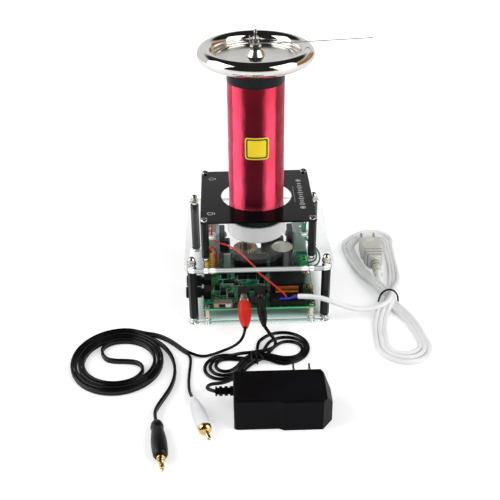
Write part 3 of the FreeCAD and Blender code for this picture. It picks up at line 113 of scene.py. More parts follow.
WHITE = (1.0, 1.0, 1.0, 1.0)
FILL_LEVEL = 0.34
STUDIO_DARK = 0.02
BACKDROP_SEEN = 0.75
BACKDROP_START = (-0.25, 0.05)      # towards +Y, as a share of the direction
BACKDROP_TOP = (0.38, 0.62)         # upwards
WARM_WALL = (0.4, 0.21, 0.07, 1.0)
WARM_LEVEL = 0.9
WARM_START = (0.52, 0.6)            # towards +X
WARM_HALF_H = (0.34, 0.5)
world = bpy.data.worlds.new("studio")
bpy.context.scene.world = world
world.use_nodes = True
sky = world.node_tree
towards = split(sky, put(sky, "ShaderNodeTexCoord").outputs["Generated"])
backdrop = sum_of(sky, "MULTIPLY", ramp(sky, towards["Y"], *BACKDROP_START),
                  ramp(sky, towards["Z"], *BACKDROP_TOP, 1.0, 0.0))
glossy_level = ramp(sky, backdrop, 0.0, 1.0, STUDIO_DARK, BACKDROP_SEEN)
beside = sum_of(sky, "MULTIPLY", ramp(sky, towards["X"], *WARM_START),
                ramp(sky, sum_of(sky, "ABSOLUTE", towards["Z"]), *WARM_HALF_H, 1.0, 0.0))
seen, path = seen_rays(sky)
mirror_only = sum_of(sky, "MULTIPLY", path.outputs["Is Glossy Ray"],
                     sum_of(sky, "SUBTRACT", 1.0, path.outputs["Is Camera Ray"]))
warm_seen = sum_of(sky, "MULTIPLY", mirror_only, beside)
level = put(sky, "ShaderNodeMix", {0: seen, 2: FILL_LEVEL, 3: 1.0}).outputs[0]
level = put(sky, "ShaderNodeMix", {0: mirror_only, 2: level, 3: glossy_level}).outputs[0]
level = put(sky, "ShaderNodeMix", {0: warm_seen, 2: level, 3: WARM_LEVEL}).outputs[0]
backlight = sky.nodes["Background"]
sky.links.new(level, backlight.inputs["Strength"])
sky.links.new(mixed(sky, warm_seen, WHITE, WARM_WALL), backlight.inputs["Color"])

# The paper is tinted green where the driver board shades it through the clear decks. Away from
# the decks it is lifted to white for the rays that show a background.
FLOOR_HALF = 3.0
PAPER_GREY, PAPER_PALE = (0.86, 0.86, 0.86, 1), (0.9, 0.9, 0.9, 1)
GREEN_SHADE = (0.46, 0.66, 0.6, 1.0)
SHADE_DEPTH = 0.8
SHADE_EDGE = (0.044, 0.054)         # half the board's width, fading out
SHADE_FORWARD = 0.0135              # the board's middle lies this far in front of the column
DECK_EDGE = (0.05, 0.066)
DECK_EDGE_LIFT = 0.3
SWEEP_RISE = (0.25, 0.8)
SWEEP_LIFT = (0.4, 1.0)
sweep = bpy.data.meshes.new("floor")
sweep.from_pydata([(-FLOOR_HALF, -FLOOR_HALF, 0), (FLOOR_HALF, -FLOOR_HALF, 0),
                   (FLOOR_HALF, FLOOR_HALF, 0), (-FLOOR_HALF, FLOOR_HALF, 0)], [], [(0, 1, 2, 3)])
floor = linked("floor", sweep)
paper, sheet, paper_shader = material("pale_paper")
fibre = put(sheet, "ShaderNodeTexNoise", {"Vector": own_place(sheet), "Scale": 9.0, "Detail": 3.0})
paper_white = mixed(sheet, fibre.outputs[0], PAPER_GREY, PAPER_PALE)
paper_shader.inputs["Roughness"].default_value = 0.9
paper_shader.inputs["Specular IOR Level"].default_value = 0.0
paper_shader.inputs["Emission Color"].default_value = WHITE
out_there = put(sheet, "ShaderNodeVectorMath", {0: own_place(sheet)},
                operation="LENGTH").outputs["Value"]
seen, path = seen_rays(sheet)
place = split(sheet, own_place(sheet))
sideways, along = sum_of(sheet, "ABSOLUTE", place["X"]), sum_of(sheet, "ABSOLUTE", place["Y"])
from_board = sum_of(sheet, "ABSOLUTE", sum_of(sheet, "ADD", place["Y"], SHADE_FORWARD))
greened = sum_of(sheet, "MULTIPLY", ramp(sheet, sideways, *SHADE_EDGE, SHADE_DEPTH, 0.0),
                 ramp(sheet, from_board, *SHADE_EDGE, 1.0, 0.0))
sheet.links.new(mixed(sheet, greened, paper_white, GREEN_SHADE), paper_shader.inputs["Base Color"])
through_lift = ramp(sheet, sum_of(sheet, "MAXIMUM", sideways, along), *DECK_EDGE, 0.0, DECK_EDGE_LIFT)
white_lift = ramp(sheet, out_there, *SWEEP_RISE, *SWEEP_LIFT)
lift = put(sheet, "ShaderNodeMix", {0: path.outputs["Is Camera Ray"], 3: white_lift,
                                    2: sum_of(sheet, "MULTIPLY", seen, through_lift)}).outputs[0]
sheet.links.new(lift, paper_shader.inputs["Emission Strength"])
sweep.materials.append(paper)

BOX_AIM = Vector((0, 0, 0.14))
BOX_HEIGHT, BOX_DISTANCE, BOX_TALL = 0.78, 1.25, 1.45


def soft_box(name, azimuth, width, power):
    """A rectangular lamp that faces the coil; azimuth 0 is the camera's side, + is its right."""
    lamp = bpy.data.lights.new(name, "AREA")
    lamp.shape = "RECTANGLE"
    lamp.size, lamp.size_y, lamp.energy = width, BOX_TALL, power
    spot = linked(name, lamp)
    turn = math.radians(azimuth)
    spot.location = (BOX_DISTANCE * math.sin(turn), -BOX_DISTANCE * math.cos(turn), BOX_HEIGHT)
    spot.rotation_euler = (BOX_AIM - spot.location).to_track_quat("-Z", "Y").to_euler()


soft_box("left_box", -84.0, 1.15, 15.0)
soft_box("right_box", 60.0, 1.1, 14.0)

camera = bpy.data.cameras.new("camera")
camera.lens, camera.sensor_width = 62.92, 36.0
camera.clip_start, camera.clip_end = 0.01, 20.0
viewer = linked("camera", camera)
viewer.location = (-0.02734, -0.70272, 0.45796)
viewer.rotation_euler = [math.radians(a) for a in (59.186, 0.4475, -1.9929)]
bpy.context.scene.camera = viewer
bpy.context.scene.view_settings.view_transform = "Standard"

# ------------------------------------------------------------------ clear decks
# Two square decks, laser cut from 5 mm cast acrylic: polished faces, faintly frosted cut edges.
# They are bolted above each other, and the coil stands on the upper one. Their cut edges carry a
# painted glow, and grey painted shade lines run along their arrises.


def tint(red, green, blue):
    """A colour given as it looks, 0 to 255, in linear light."""
    parts = [value / 255 for value in (red, green, blue)]
    return tuple(v / 12.92 if v < 0.04 else ((v + 0.055) / 1.055) ** 2.4 for v in parts) + (1.0,)


def dress(paint, *nodes):
    """Give CAD nodes their finish."""
    for name in nodes:
        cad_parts[name].material_slots[0].material = paint


CUT_EDGE_FROST = 0.2
# ARRIS and SEAM shape the painted shade lines and the painted glow on the cut edges.
ARRIS = (0.0013, 0.0006)            # how wide an edge's bright line is, fading out
SEAM = (0.0002, 0.0007)
UPRIGHT = (0.3, 0.6)                # a face whose normal rises less than this is a cut edge
ACRYLIC, ARRIS_PAINTED_SHADE = (0.97, 0.985, 0.98, 1.0), (0.2, 0.22, 0.22, 1.0)
DARK, PAINTED_EDGE_GLOW = (0.0, 0.0, 0.0, 1.0), (0.96, 1.0, 0.98, 1.0)
PASSING_LIGHT = (0.95, 0.98, 0.97, 1.0)


def side_faces(tree):
    """1 on a plate's sides, 0 on its flat faces."""
    normal = put(tree, "ShaderNodeTexCoord").outputs["Normal"]
    return ramp(tree, sum_of(tree, "ABSOLUTE", split(tree, normal)["Z"]), *UPRIGHT, 1.0, 0.0)


def clear_acrylic(deck, painted_glow, outline, ior, tone):
    """Clear all through. The cut edges glow with painted light as brightly as the second argument says;
    outline sets how grey the painted shade lines along their two arrises are, ior how strongly it bends
    light, and tone how much its faces mirror."""
    paint, tree, shader = material("clear_" + deck)
    shader.inputs["Transmission Weight"].default_value = 1.0
    shader.inputs["IOR"].default_value = ior
    shader.inputs["Specular Tint"].default_value = (tone, tone, tone, 1.0)
    cut_edge = side_faces(tree)
    scuffs = put(tree, "ShaderNodeTexNoise",
                 {"Vector": own_place(tree), "Scale": 140.0, "Detail": 4.0}).outputs[0]
    frost = sum_of(tree, "MULTIPLY", cut_edge, CUT_EDGE_FROST)
    rough = sum_of(tree, "ADD", frost, ramp(tree, scuffs, 0.5, 0.8, 0.0, 0.014))
    tree.links.new(rough, shader.inputs["Roughness"])
    (_, _, low), (_, _, top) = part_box(deck)
    height = split(tree, own_place(tree))["Z"]
    off_middle = sum_of(tree, "ABSOLUTE", sum_of(tree, "SUBTRACT", height, (low + top) / 2))
    arris = ramp(tree, off_middle, (top - low) / 2 - ARRIS[0], (top - low) / 2 - ARRIS[1])
    # Painted shade: grey lines along both arrises of each cut edge.
    grey = sum_of(tree, "MULTIPLY", sum_of(tree, "MULTIPLY", arris, cut_edge), outline)
    tree.links.new(mixed(tree, grey, ACRYLIC, ARRIS_PAINTED_SHADE), shader.inputs["Base Color"])
    # Painted glow: the cut edges emit light, weaker towards their arrises.
    painted_edge_glow = sum_of(tree, "MULTIPLY", ramp(tree, off_middle, *SEAM, 0.7, 1.0),
                        ramp(tree, arris, 0.0, 1.0, painted_glow, painted_glow * 0.3))
    painted_edge_glow = sum_of(tree, "MULTIPLY", painted_edge_glow, cut_edge)
    tree.links.new(mixed(tree, painted_edge_glow, DARK, PAINTED_EDGE_GLOW), shader.inputs["Emission Color"])
    shader.inputs["Emission Strength"].default_value = 1.0
    passing = put(tree, "ShaderNodeBsdfTransparent", {"Color": PASSING_LIGHT})
    shadow = put(tree, "ShaderNodeLightPath").outputs["Is Shadow Ray"]
    both = put(tree, "ShaderNodeMixShader", {0: shadow, 1: shader.outputs[0], 2: passing.outputs[0]})
    tree.links.new(both.outputs[0], tree.nodes["Material Output"].inputs["Surface"])
    return paint


dress(clear_acrylic("bottom_deck", 0.08, 0.5, 1.45, 1.0), "bottom_deck")
dress(clear_acrylic("middle_deck", 0.62, 0.0, 1.36, 0.2), "middle_deck")

# ------------------------------------------------------------------ posts, nuts and screws
# Black nylon hexagon posts carry the decks and the coil board. Nickel-plated screws, acorn nuts
# and board pillars hold the stack together from both sides.


def effect(name, inputs, outputs):
    """A shader node group with named sockets: its tree, what it is given and what it gives."""
    kinds = {"colour": "NodeSocketColor", "value": "NodeSocketFloat", "vector": "NodeSocketVector"}
    tree = bpy.data.node_groups.new(name, "ShaderNodeTree")
    for label, kind in inputs.items():
        tree.interface.new_socket(label, in_out="INPUT", socket_type=kinds[kind])
    for label, kind in outputs.items():
        tree.interface.new_socket(label, in_out="OUTPUT", socket_type=kinds[kind])
    return tree, tree.nodes.new("NodeGroupInput").outputs, tree.nodes.new("NodeGroupOutput").inputs


grain_tree, given, result = effect(
    "surface_grain",
    {"Colour": "colour", "Second Colour": "colour", "Cloud Scale": "value", "Grain Scale": "value",
     "Stretch": "vector", "Roughness": "value", "Spread": "value"},
    {"Colour": "colour", "Roughness": "value", "Height": "value"})
clouds = put(grain_tree, "ShaderNodeTexNoise",
             {"Vector": own_place(grain_tree), "Scale": given["Cloud Scale"], "Detail": 3.0}).outputs[0]
drawn_out = put(grain_tree, "ShaderNodeVectorMath",
                {0: own_place(grain_tree), 1: given["Stretch"]}, operation="MULTIPLY").outputs[0]
grain = put(grain_tree, "ShaderNodeTexNoise",
            {"Vector": drawn_out, "Scale": given["Grain Scale"], "Detail": 2.0}).outputs[0]
grain_tree.links.new(mixed(grain_tree, ramp(grain_tree, clouds, 0.35, 0.65), given["Colour"],
                           given["Second Colour"]), result["Colour"])
unevenness = sum_of(grain_tree, "SUBTRACT", sum_of(grain_tree, "ADD", clouds, grain), 1.0)
unevenness = sum_of(grain_tree, "MULTIPLY", unevenness, given["Spread"])
grain_tree.links.new(sum_of(grain_tree, "ADD", given["Roughness"], unevenness), result["Roughness"])
grain_tree.links.new(grain, result["Height"])


def finish(name, colour, second, roughness, spread=0.12, metallic=0.0, cloud=70.0, grain=2000.0,
           stretch=(1.0, 1.0, 1.0), relief=0.12, edge=0.25, shine=0.5):
    """A moulded, turned or lacquered finish: two tones in soft clouds, uneven gloss, a fine
    grain in relief, and edges that catch the light over a radius of edge millimetres."""
    paint, tree, shader = material(name)
    shader.inputs["Metallic"].default_value = metallic
    shader.inputs["Specular IOR Level"].default_value = shine
    group = tree.nodes.new("ShaderNodeGroup")
    group.node_tree = grain_tree
    values = {"Colour": colour, "Second Colour": second, "Cloud Scale": cloud,
              "Grain Scale": grain, "Stretch": stretch, "Roughness": roughness, "Spread": spread}
    for label, value in values.items():
        group.inputs[label].default_value = value
    rounded = put(tree, "ShaderNodeBevel", {"Radius": edge * MM}, samples=4).outputs[0]
    bump = put(tree, "ShaderNodeBump", {"Strength": relief, "Distance": 0.0001,
                                        "Height": group.outputs["Height"], "Normal": rounded})
    tree.links.new(group.outputs["Colour"], shader.inputs["Base Color"])
    tree.links.new(group.outputs["Roughness"], shader.inputs["Roughness"])
    tree.links.new(bump.outputs["Normal"], shader.inputs["Normal"])
    return paint


def painted_over(tree, mask, colour):
    """Lay a colour over a finish where a mask is 1."""
    shader = tree.nodes["Principled BSDF"]
    before = shader.inputs["Base Color"].links[0].from_socket
    tree.links.new(mixed(tree, mask, before, colour), shader.inputs["Base Color"])


def raised(tree, height):
    """Add to a finish's relief."""
    bump = tree.nodes["Principled BSDF"].inputs["Normal"].links[0].from_node
    before = bump.inputs["Height"].links[0].from_socket
    tree.links.new(sum_of(tree, "ADD", before, height), bump.inputs["Height"])


nylon_black = finish("black_post", tint(9, 9, 10), tint(14, 14, 16), 0.36, stretch=(1, 1, 0.08),
                     shine=0.3)
nickel_plate = finish("nickel", tint(222, 220, 215), tint(196, 192, 186), 0.17, metallic=1.0,
                      spread=0.1, relief=0.05)
pillar_plate = finish("pillar_plate", tint(222, 216, 200), tint(190, 182, 162), 0.2, metallic=1.0,
                      stretch=(1, 1, 0.06))
dress(nylon_black, "lower_posts", "upper_posts")
dress(nickel_plate, "acorn_nuts", "deck_screws", "dome_screws", "board_screws")
dress(pillar_plate, "board_standoffs")

# ------------------------------------------------------------------ coil board and its print
# A black solder-masked board on four black posts, with a wide round window for the coil. Its
# print is white: round pads with ticks between them, and short dashes at the other edge.


def solid(name, mesh, paint, smooth_below=35.0):
    """Keep a bmesh as a new piece, smooth but for its sharp edges."""
    bmesh.ops.recalc_face_normals(mesh, faces=mesh.faces)
    kept = bpy.data.meshes.new(name)
    mesh.to_mesh(kept)
    mesh.free()
    kept.materials.append(paint)
    kept.shade_smooth()
    kept.set_sharp_from_angle(angle=math.radians(smooth_below))
    return linked(name, kept)


def on_stand(piece, *nodes, slot=None):
    """Fix a piece to the stand. It may stand for CAD nodes, which are then hidden. slot is not used."""
    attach(piece, "stand")
    if nodes:
        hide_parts(*nodes)
    return piece


def rounded_box(mesh, low, high, corner=0.0, segments=1):
    """Add a box to a bmesh, its edges rounded by corner."""
    made = bmesh.ops.create_cube(mesh, size=1.0)["verts"]
    for vertex in made:
        for axis in range(3):
            share = vertex.co[axis] + 0.5
            vertex.co[axis] = (low[axis] + (high[axis] - low[axis]) * share) * MM
    if corner:
        edges = list({edge for vertex in made for edge in vertex.link_edges})
        bmesh.ops.bevel(mesh, geom=edges, offset=corner * MM, segments=segments, affect="EDGES")


def band(mesh, one, two):
    """A ring of faces between two closed rows of points."""
    for k in range(len(one)):
        n = (k + 1) % len(one)
        mesh.faces.new((one[k], one[n], two[n], two[k]))


def washer(mesh, x, y, z, outer, inner, thick, steps=24):
    """Add a flat ring, or a disc when inner is 0, lying at height z."""
    loops = []
    for radius, level in ((outer, z), (outer, z + thick), (inner, z + thick), (inner, z)):
        if radius:
            loops.append([mesh.verts.new(((x + radius * math.cos(2 * math.pi * k / steps)) * MM,
                                          (y + radius * math.sin(2 * math.pi * k / steps)) * MM,
                                          level * MM)) for k in range(steps)])
    pairs = list(zip(loops, loops[1:] + loops[:1])) if inner else [(loops[0], loops[1])]
    for one, two in pairs:
        band(mesh, one, two)
    if not inner:
        mesh.faces.new(loops[0][::-1])
        mesh.faces.new(loops[1])


mask_black = finish("black_board", tint(10, 10, 12), tint(15, 15, 18), 0.09, cloud=18.0, grain=900.0,
                    relief=0.05, edge=0.1, shine=0.2)
dress(mask_black, "coil_board")
print_white = finish("board_print", tint(244, 244, 242), tint(232, 232, 230), 0.5, cloud=300.0)
coil_board_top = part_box("coil_board")[1][2] / MM
INK = 0.04
PRINT_X = 40.0
TICK_HALF = 0.6
marks = bmesh.new()


def printed_bar(x0, x1, y0, y1):
    rounded_box(marks, (x0, y0, coil_board_top), (x1, y1, coil_board_top + INK))


for y in (-26.0, 27.0):
    washer(marks, PRINT_X, y, coil_board_top, 2.3, 1.7, INK)
    washer(marks, PRINT_X, y, coil_board_top, 0.9, 0.0, INK)
for k in range(12):
    tall = 2.5 if k % 3 == 0 else 1.7
    y = -20.0 + 3.7 * k
    printed_bar(PRINT_X - tall, PRINT_X + tall, y - TICK_HALF, y + TICK_HALF)
for k in range(9):
    printed_bar(33.6, 34.1, -15.0 + 3.4 * k, -13.2 + 3.4 * k)
for x, y in ((-41.5, -34.0), (-40.5, 34.0)):
    washer(marks, x, y, coil_board_top, 2.6, 2.1, INK)
    printed_bar(x + 3.4, x + 3.9, y - 1.9, y + 1.9)
on_stand(solid("board_print", marks, print_white))

# ------------------------------------------------------------------ base cap and tube
# The former is a grey plastic pipe. It stands in a glossy white moulded cap, which a screw and a
# nut hold to the middle deck.
cap_white = finish("white_cap", tint(253, 253, 253), tint(247, 247, 248), 0.2, cloud=25.0, relief=0.04,
                   edge=0.8)
dress(cap_white, "base_cap")
dress(finish("tube_plastic", tint(70, 74, 74), tint(58, 62, 62), 0.35), "coil_tube")

# ------------------------------------------------------------------ coil winding
# One close layer of red enamelled wire, about 290 turns, under clear varnish. Each turn has its
# own small gloss line above and a lower flank painted darker as shade, and together they make soft
# stripes.


def in_metres(place):
    return tuple(value * MM for value in place)


def made_by_nodes(name, inputs, build, places=()):
    """A mesh made by a geometry tree. inputs gives {name: (socket type, value)}; build adds the
    nodes and returns the geometry to keep. places, in millimetres, reach the tree as points."""
    tree = bpy.data.node_groups.new(name, "GeometryNodeTree")
    tree.interface.new_socket("Places", in_out="INPUT", socket_type="NodeSocketGeometry")
    for label, (kind, _) in inputs.items():
        tree.interface.new_socket(label, in_out="INPUT", socket_type="NodeSocket" + kind)
    tree.interface.new_socket("Geometry", in_out="OUTPUT", socket_type="NodeSocketGeometry")
    kept = build(tree, tree.nodes.new("NodeGroupInput").outputs)
    tree.links.new(kept, tree.nodes.new("NodeGroupOutput").inputs["Geometry"])
    seeds = bpy.data.meshes.new(name)
    seeds.from_pydata([in_metres(place) for place in places], [], [])
    piece = linked(name, seeds)
    change = piece.modifiers.new("make", "NODES")
    change.node_group = tree
    for item in tree.interface.items_tree:
        if item.in_out == "INPUT" and item.name in inputs:
            change[item.identifier] = inputs[item.name][1]
    graph = bpy.context.evaluated_depsgraph_get()
    mesh = bpy.data.meshes.new_from_object(piece.evaluated_get(graph))
    piece.modifiers.remove(change)
    piece.data = mesh
    return piece


def closing(tree, start, shape, smooth=True):
    """The last steps of every tree: smooth faces, real instances, one material."""
    real = put(tree, "GeometryNodeRealizeInstances", {"Geometry": shape}).outputs[0]
    faces = put(tree, "GeometryNodeSetShadeSmooth", {0: real, "Shade Smooth": smooth}).outputs[0]
    return put(tree, "GeometryNodeSetMaterial",
               {"Geometry": faces, "Material": start["Material"]}).outputs[0]


def helix(tree, start):
    line = put(tree, "GeometryNodeCurveSpiral",
               {"Resolution": 48, "Rotations": start["Turns"], "Start Radius": start["Coil Radius"],
                "End Radius": start["Coil Radius"], "Height": start["Height"]}).outputs[0]
    wire = put(tree, "GeometryNodeCurvePrimitiveCircle",
               {"Resolution": 6, "Radius": start["Wire Radius"]}).outputs[0]
    tube = put(tree, "GeometryNodeCurveToMesh",
               {"Curve": line, "Profile Curve": wire, "Fill Caps": True}).outputs[0]
    place = put(tree, "ShaderNodeCombineXYZ", {"Z": start["Foot"]}).outputs[0]
    stood = put(tree, "GeometryNodeTransform", {"Geometry": tube, "Translation": place}).outputs[0]
    return closing(tree, start, stood)


enamel = finish("red_enamel", tint(254, 84, 126), tint(248, 66, 102), 0.17, spread=0.05, metallic=1.0,
                cloud=25.0, relief=0.03, edge=0.05)
# Painted shade: the downward-facing flank of each turn takes this darker red.
PAINTED_SHADE_UNDER_TURN = tint(110, 8, 12)
enamel_tree = enamel.node_tree
rise = split(enamel_tree, put(enamel_tree, "ShaderNodeTexCoord").outputs["Normal"])["Z"]
painted_over(enamel_tree, ramp(enamel_tree, rise, 0.0, 0.35, 1.0, 0.0), PAINTED_SHADE_UNDER_TURN)
enamel_shader = enamel_tree.nodes["Principled BSDF"]
enamel_shader.inputs["Coat Weight"].default_value = 0.4
enamel_shader.inputs["Coat Roughness"].default_value = 0.1
WIRE_PITCH = 0.4
WIRE_R = 0.52 * WIRE_PITCH          # the turns press into each other a little
(_, _, winding_low), (_, winding_r, winding_top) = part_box("coil_winding")
winding_len = winding_top - winding_low
winding = made_by_nodes("coil_wire", {
    "Turns": ("Float", (winding_len / MM) / WIRE_PITCH - 1.0),
    "Coil Radius": ("Float", winding_r - WIRE_PITCH / 2 * MM),
    "Wire Radius": ("Float", WIRE_R * MM),
    "Height": ("Float", winding_len - WIRE_PITCH * MM),
    "Foot": ("Float", winding_low + WIRE_PITCH / 2 * MM),
    "Material": ("Material", enamel)}, helix)
on_stand(winding, "coil_winding", slot="red_enamel")

# ------------------------------------------------------------------ end bands and sticker
# Glossy black tape holds both ends of the winding. A plain yellow vinyl sticker with a dark rim
# is on the front of the coil.
tape = finish("black_tape", tint(10, 18, 21), tint(16, 25, 28), 0.1, cloud=120.0, grain=500.0,
              stretch=(0.2, 0.2, 1.0), relief=0.1, edge=0.15, shine=0.16)
dress(tape, "coil_bands")
vinyl = finish("sticker_yellow", tint(255, 228, 6), tint(250, 218, 8), 0.32, cloud=40.0)
rim_ink = finish("sticker_rim", tint(30, 28, 22), tint(42, 38, 28), 0.4)
STICKER_MID = (winding_low + winding_top) / 2 / MM + 5.5
STICKER_W = 21.0
STICKER_H = 20.0
STICKER_TURN = math.radians(-0.5)
PATCH_THICK = 0.06


def wrapped_patch(name, width, height, corner, stand_off, paint, hole=None):
    """A rounded rectangle, or a frame of one, bent round the coil's front."""
    def outline(w, h, c):
        points = []
        arcs = [[(sx * (w / 2 - c) + c * math.cos(math.radians(first + 15 * k)),
                  sz * (h / 2 - c) + c * math.sin(math.radians(first + 15 * k))) for k in range(7)]
                for sx, sz, first in ((1, 1, 0), (-1, 1, 90), (-1, -1, 180), (1, -1, 270))]
        for arc, following in zip(arcs, arcs[1:] + arcs[:1]):
            (xa, za), (xb, zb) = arc[-1], following[0]
            points += arc + [(xa + (xb - xa) * j / 10, za + (zb - za) * j / 10) for j in range(1, 10)]
        return points

    outer = outline(width, height, corner)
    inner = outline(*hole) if hole else [(x * 0.02, z * 0.02) for x, z in outer]
    steps = 8
    layers = [[(xo + (xi - xo) * j / steps, zo + (zi - zo) * j / steps)
               for (xo, zo), (xi, zi) in zip(outer, inner)] for j in range(steps + 1)]
    mesh = bmesh.new()
    radius = winding_r / MM + stand_off
    shells = [[[mesh.verts.new((r * math.sin(STICKER_TURN + x / radius) * MM,
                                -r * math.cos(STICKER_TURN + x / radius) * MM,
                                (STICKER_MID + z) * MM)) for x, z in layer] for layer in layers]
              for r in (radius, radius - PATCH_THICK)]
    for rows in shells:
        for one, two in zip(rows, rows[1:]):
            band(mesh, one, two)
    band(mesh, shells[0][0], shells[1][0])
    if hole:
        band(mesh, shells[0][-1], shells[1][-1])
    else:
        mesh.faces.new(shells[0][-1])
        mesh.faces.new(shells[1][-1][::-1])
    on_stand(solid(name, mesh, paint))


wrapped_patch("sticker", STICKER_W, STICKER_H, 2.6, 0.1, vinyl)
wrapped_patch("sticker_rim", STICKER_W - 2.2, STICKER_H - 2.2, 1.8, 0.14, rim_ink,
              hole=(STICKER_W - 4.8, STICKER_H - 4.8, 1.0))

# ------------------------------------------------------------------ ring electrode
# A polished steel ring round a spun disc with a raised boss. A nut clamps the disc to the tube's
# plug, and a smaller nut above it keeps the eye of the breakout wire, which turns on the stud.


def polished(name, colour, second, roughness, stretch):
    """Mirror-bright metal with faint lines left by the polishing wheel."""
    return finish(name, colour, second, roughness, spread=0.04, metallic=1.0, cloud=30.0,
                  grain=700.0, stretch=stretch, relief=0.02, edge=0.2)


chrome = polished("spun_metal", tint(232, 230, 226), tint(222, 219, 213), 0.045, (0.4, 0.4, 3.0))
dress(chrome, "ring_electrode", "tube_plug")
spun = polished("spun_disc", tint(232, 230, 226), tint(222, 219, 213), 0.16, (0.4, 0.4, 3.0))
spun_shader = spun.node_tree.nodes["Principled BSDF"]
spun_shader.inputs["Anisotropic"].default_value = 0.85
around = put(spun.node_tree, "ShaderNodeTangent", direction_type="RADIAL", axis="Z")
spun.node_tree.links.new(around.outputs[0], spun_shader.inputs["Tangent"])
dress(spun, "ring_disc")
dress(polished("plain_steel", tint(226, 224, 220), tint(206, 203, 198), 0.12, (1.0, 1.0, 0.3)),
      "top_stud", "top_nuts")
dress(finish("wire_steel", tint(196, 196, 196), tint(176, 176, 176), 0.42, metallic=0.6,
             stretch=(0.05, 1.0, 1.0)), "breakout_wire")

# ------------------------------------------------------------------ driver board
# A two-layer board in green solder mask: the copper below shows as paler lines and floods, and
# the white print is an outline round each part. It stands on plated pillars over the lower deck.


def board_green():
    paint = finish("green_board", tint(16, 84, 54), tint(12, 68, 46), 0.26, cloud=45.0, grain=900.0,
                   relief=0.08, edge=0.1)
    tree = paint.node_tree
    lines = put(tree, "ShaderNodeTexVoronoi", {"Vector": own_place(tree), "Scale": 210.0},
                feature="F1", distance="CHEBYCHEV").outputs["Distance"]
    copper = ramp(tree, lines, 0.36, 0.44)
    islands_of = put(tree, "ShaderNodeTexNoise", {"Vector": own_place(tree), "Scale": 60.0}).outputs[0]
    copper = sum_of(tree, "MULTIPLY", copper, ramp(tree, islands_of, 0.42, 0.5))
    painted_over(tree, copper, tint(40, 128, 82))
    raised(tree, copper)
    painted_over(tree, side_faces(tree), tint(96, 214, 134))
    return paint


dress(board_green(), "main_board")
board_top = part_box("main_board")[1][2] / MM
tinned = finish("tinned_joint", tint(214, 216, 216), tint(176, 178, 180), 0.24, metallic=1.0,
                cloud=400.0)

# ------------------------------------------------------------------ chips and small parts
# Moulded black chips with tinned legs, and between them rows of small surface-mounted parts,
# tan capacitors and black resistors with tinned ends, placed a little unevenly as a machine does.
chip_black = finish("board_black", tint(13, 13, 14), tint(20, 20, 21), 0.42, cloud=200.0, relief=0.4,
                    shine=0.2)
dress(chip_black, "board_chips")
chips = [(-26.5, -20.6, 10.0, 4.0), (-13.6, -13.6, 8.6, 5.2), (-5.0, -13.8, 6.4, 6.0),
         (-13.9, -33.0, 8.8, 4.4), (-3.6, -33.6, 7.6, 4.0), (-32.0, -38.8, 4.6, 6.4),
         (-31.0, -12.0, 5.0, 5.0), (-25.0, -43.5, 5.0, 4.0), (-37.4, -31.6, 4.2, 4.2),
         (6.2, -37.0, 4.0, 8.0), (3.4, -22.0, 4.0, 4.0), (-20.0, -24.6, 4.0, 3.0)]
LEG_PITCH = 1.27


def bar_on_each(tree, start):
    shape = put(tree, "GeometryNodeMeshCube", {"Size": start["Size"]}).outputs[0]
    points = put(tree, "GeometryNodeMeshToPoints", {"Mesh": start["Places"]}).outputs[0]
    row = put(tree, "GeometryNodeInstanceOnPoints", {"Points": points, "Instance": shape}).outputs[0]
    return closing(tree, start, row, False)


def bars_at(name, spots, size, paint):
    """The same small bar at many places; size and places are in millimetres."""
    on_stand(made_by_nodes(name, {"Size": ("Vector", in_metres(size)), "Material": ("Material", paint)},
                           bar_on_each, spots))


LEG_OUT = 0.4
LEG_MID = board_top + 0.4
legs_y, legs_x = [], []
for x, y, width, depth in chips:
    count = int(max(width, depth) / LEG_PITCH)
    for k in range(count):
        along = (k - (count - 1) / 2) * LEG_PITCH
        for side in (-1, 1):
            if width >= depth:
                legs_y.append((x + along, y + side * (depth / 2 + LEG_OUT), LEG_MID))
            else:
                legs_x.append((x + side * (width / 2 + LEG_OUT), y + along, LEG_MID))
bars_at("chip_legs", legs_y, (0.5, 0.9, 0.8), tinned)
bars_at("chip_side_legs", legs_x, (0.9, 0.5, 0.8), tinned)

# Small parts fill what the chips, the larger parts, the sinks and the pots leave free.
CHIP_CLEAR, PART_CLEAR = 1.6, 1.2
busy = [(x - w / 2 - CHIP_CLEAR, x + w / 2 + CHIP_CLEAR, y - d / 2 - CHIP_CLEAR, y + d / 2 + CHIP_CLEAR)
        for x, y, w, d in chips]
for node in ("reservoir_can", "trafo_core", "mains_cover", "switch_can", "fuse_holder",
             "gold_coil", "line_choke", "coil_terminal", "jack_bodies"):
    (x0, y0, _), (x1, y1, _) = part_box(node)
    busy.append((x0 / MM - PART_CLEAR, x1 / MM + PART_CLEAR, y0 / MM - PART_CLEAR, y1 / MM + PART_CLEAR))
busy += [(-51.0, -41.0, -48.6, -17.4), (-21.6, 9.6, -9.0, 4.0), (-50.0, -28.0, 7.0, 30.0),
         (28.0, 50.0, 7.0, 30.0), (-32.0, -24.0, -4.5, 0.5)]
CAPACITOR, RESISTOR = (1.3, 1.2, 0.7), (1.3, 1.2, 0.5)
PART_END, PAD = (0.55, 1.26, 0.66), (0.9, 0.9, 0.12)
END_OUT, END_MID = 0.9, 0.32
SMALL_HALF_W, SMALL_HALF_D = 1.2, 0.8
CAPACITORS_TO, RESISTORS_TO, PADS_TO = 0.34, 0.62, 0.8    # shares of the places, added up
dice = random.Random(11)
tan_spots, dark_spots, end_spots, pad_spots = [], [], [], []
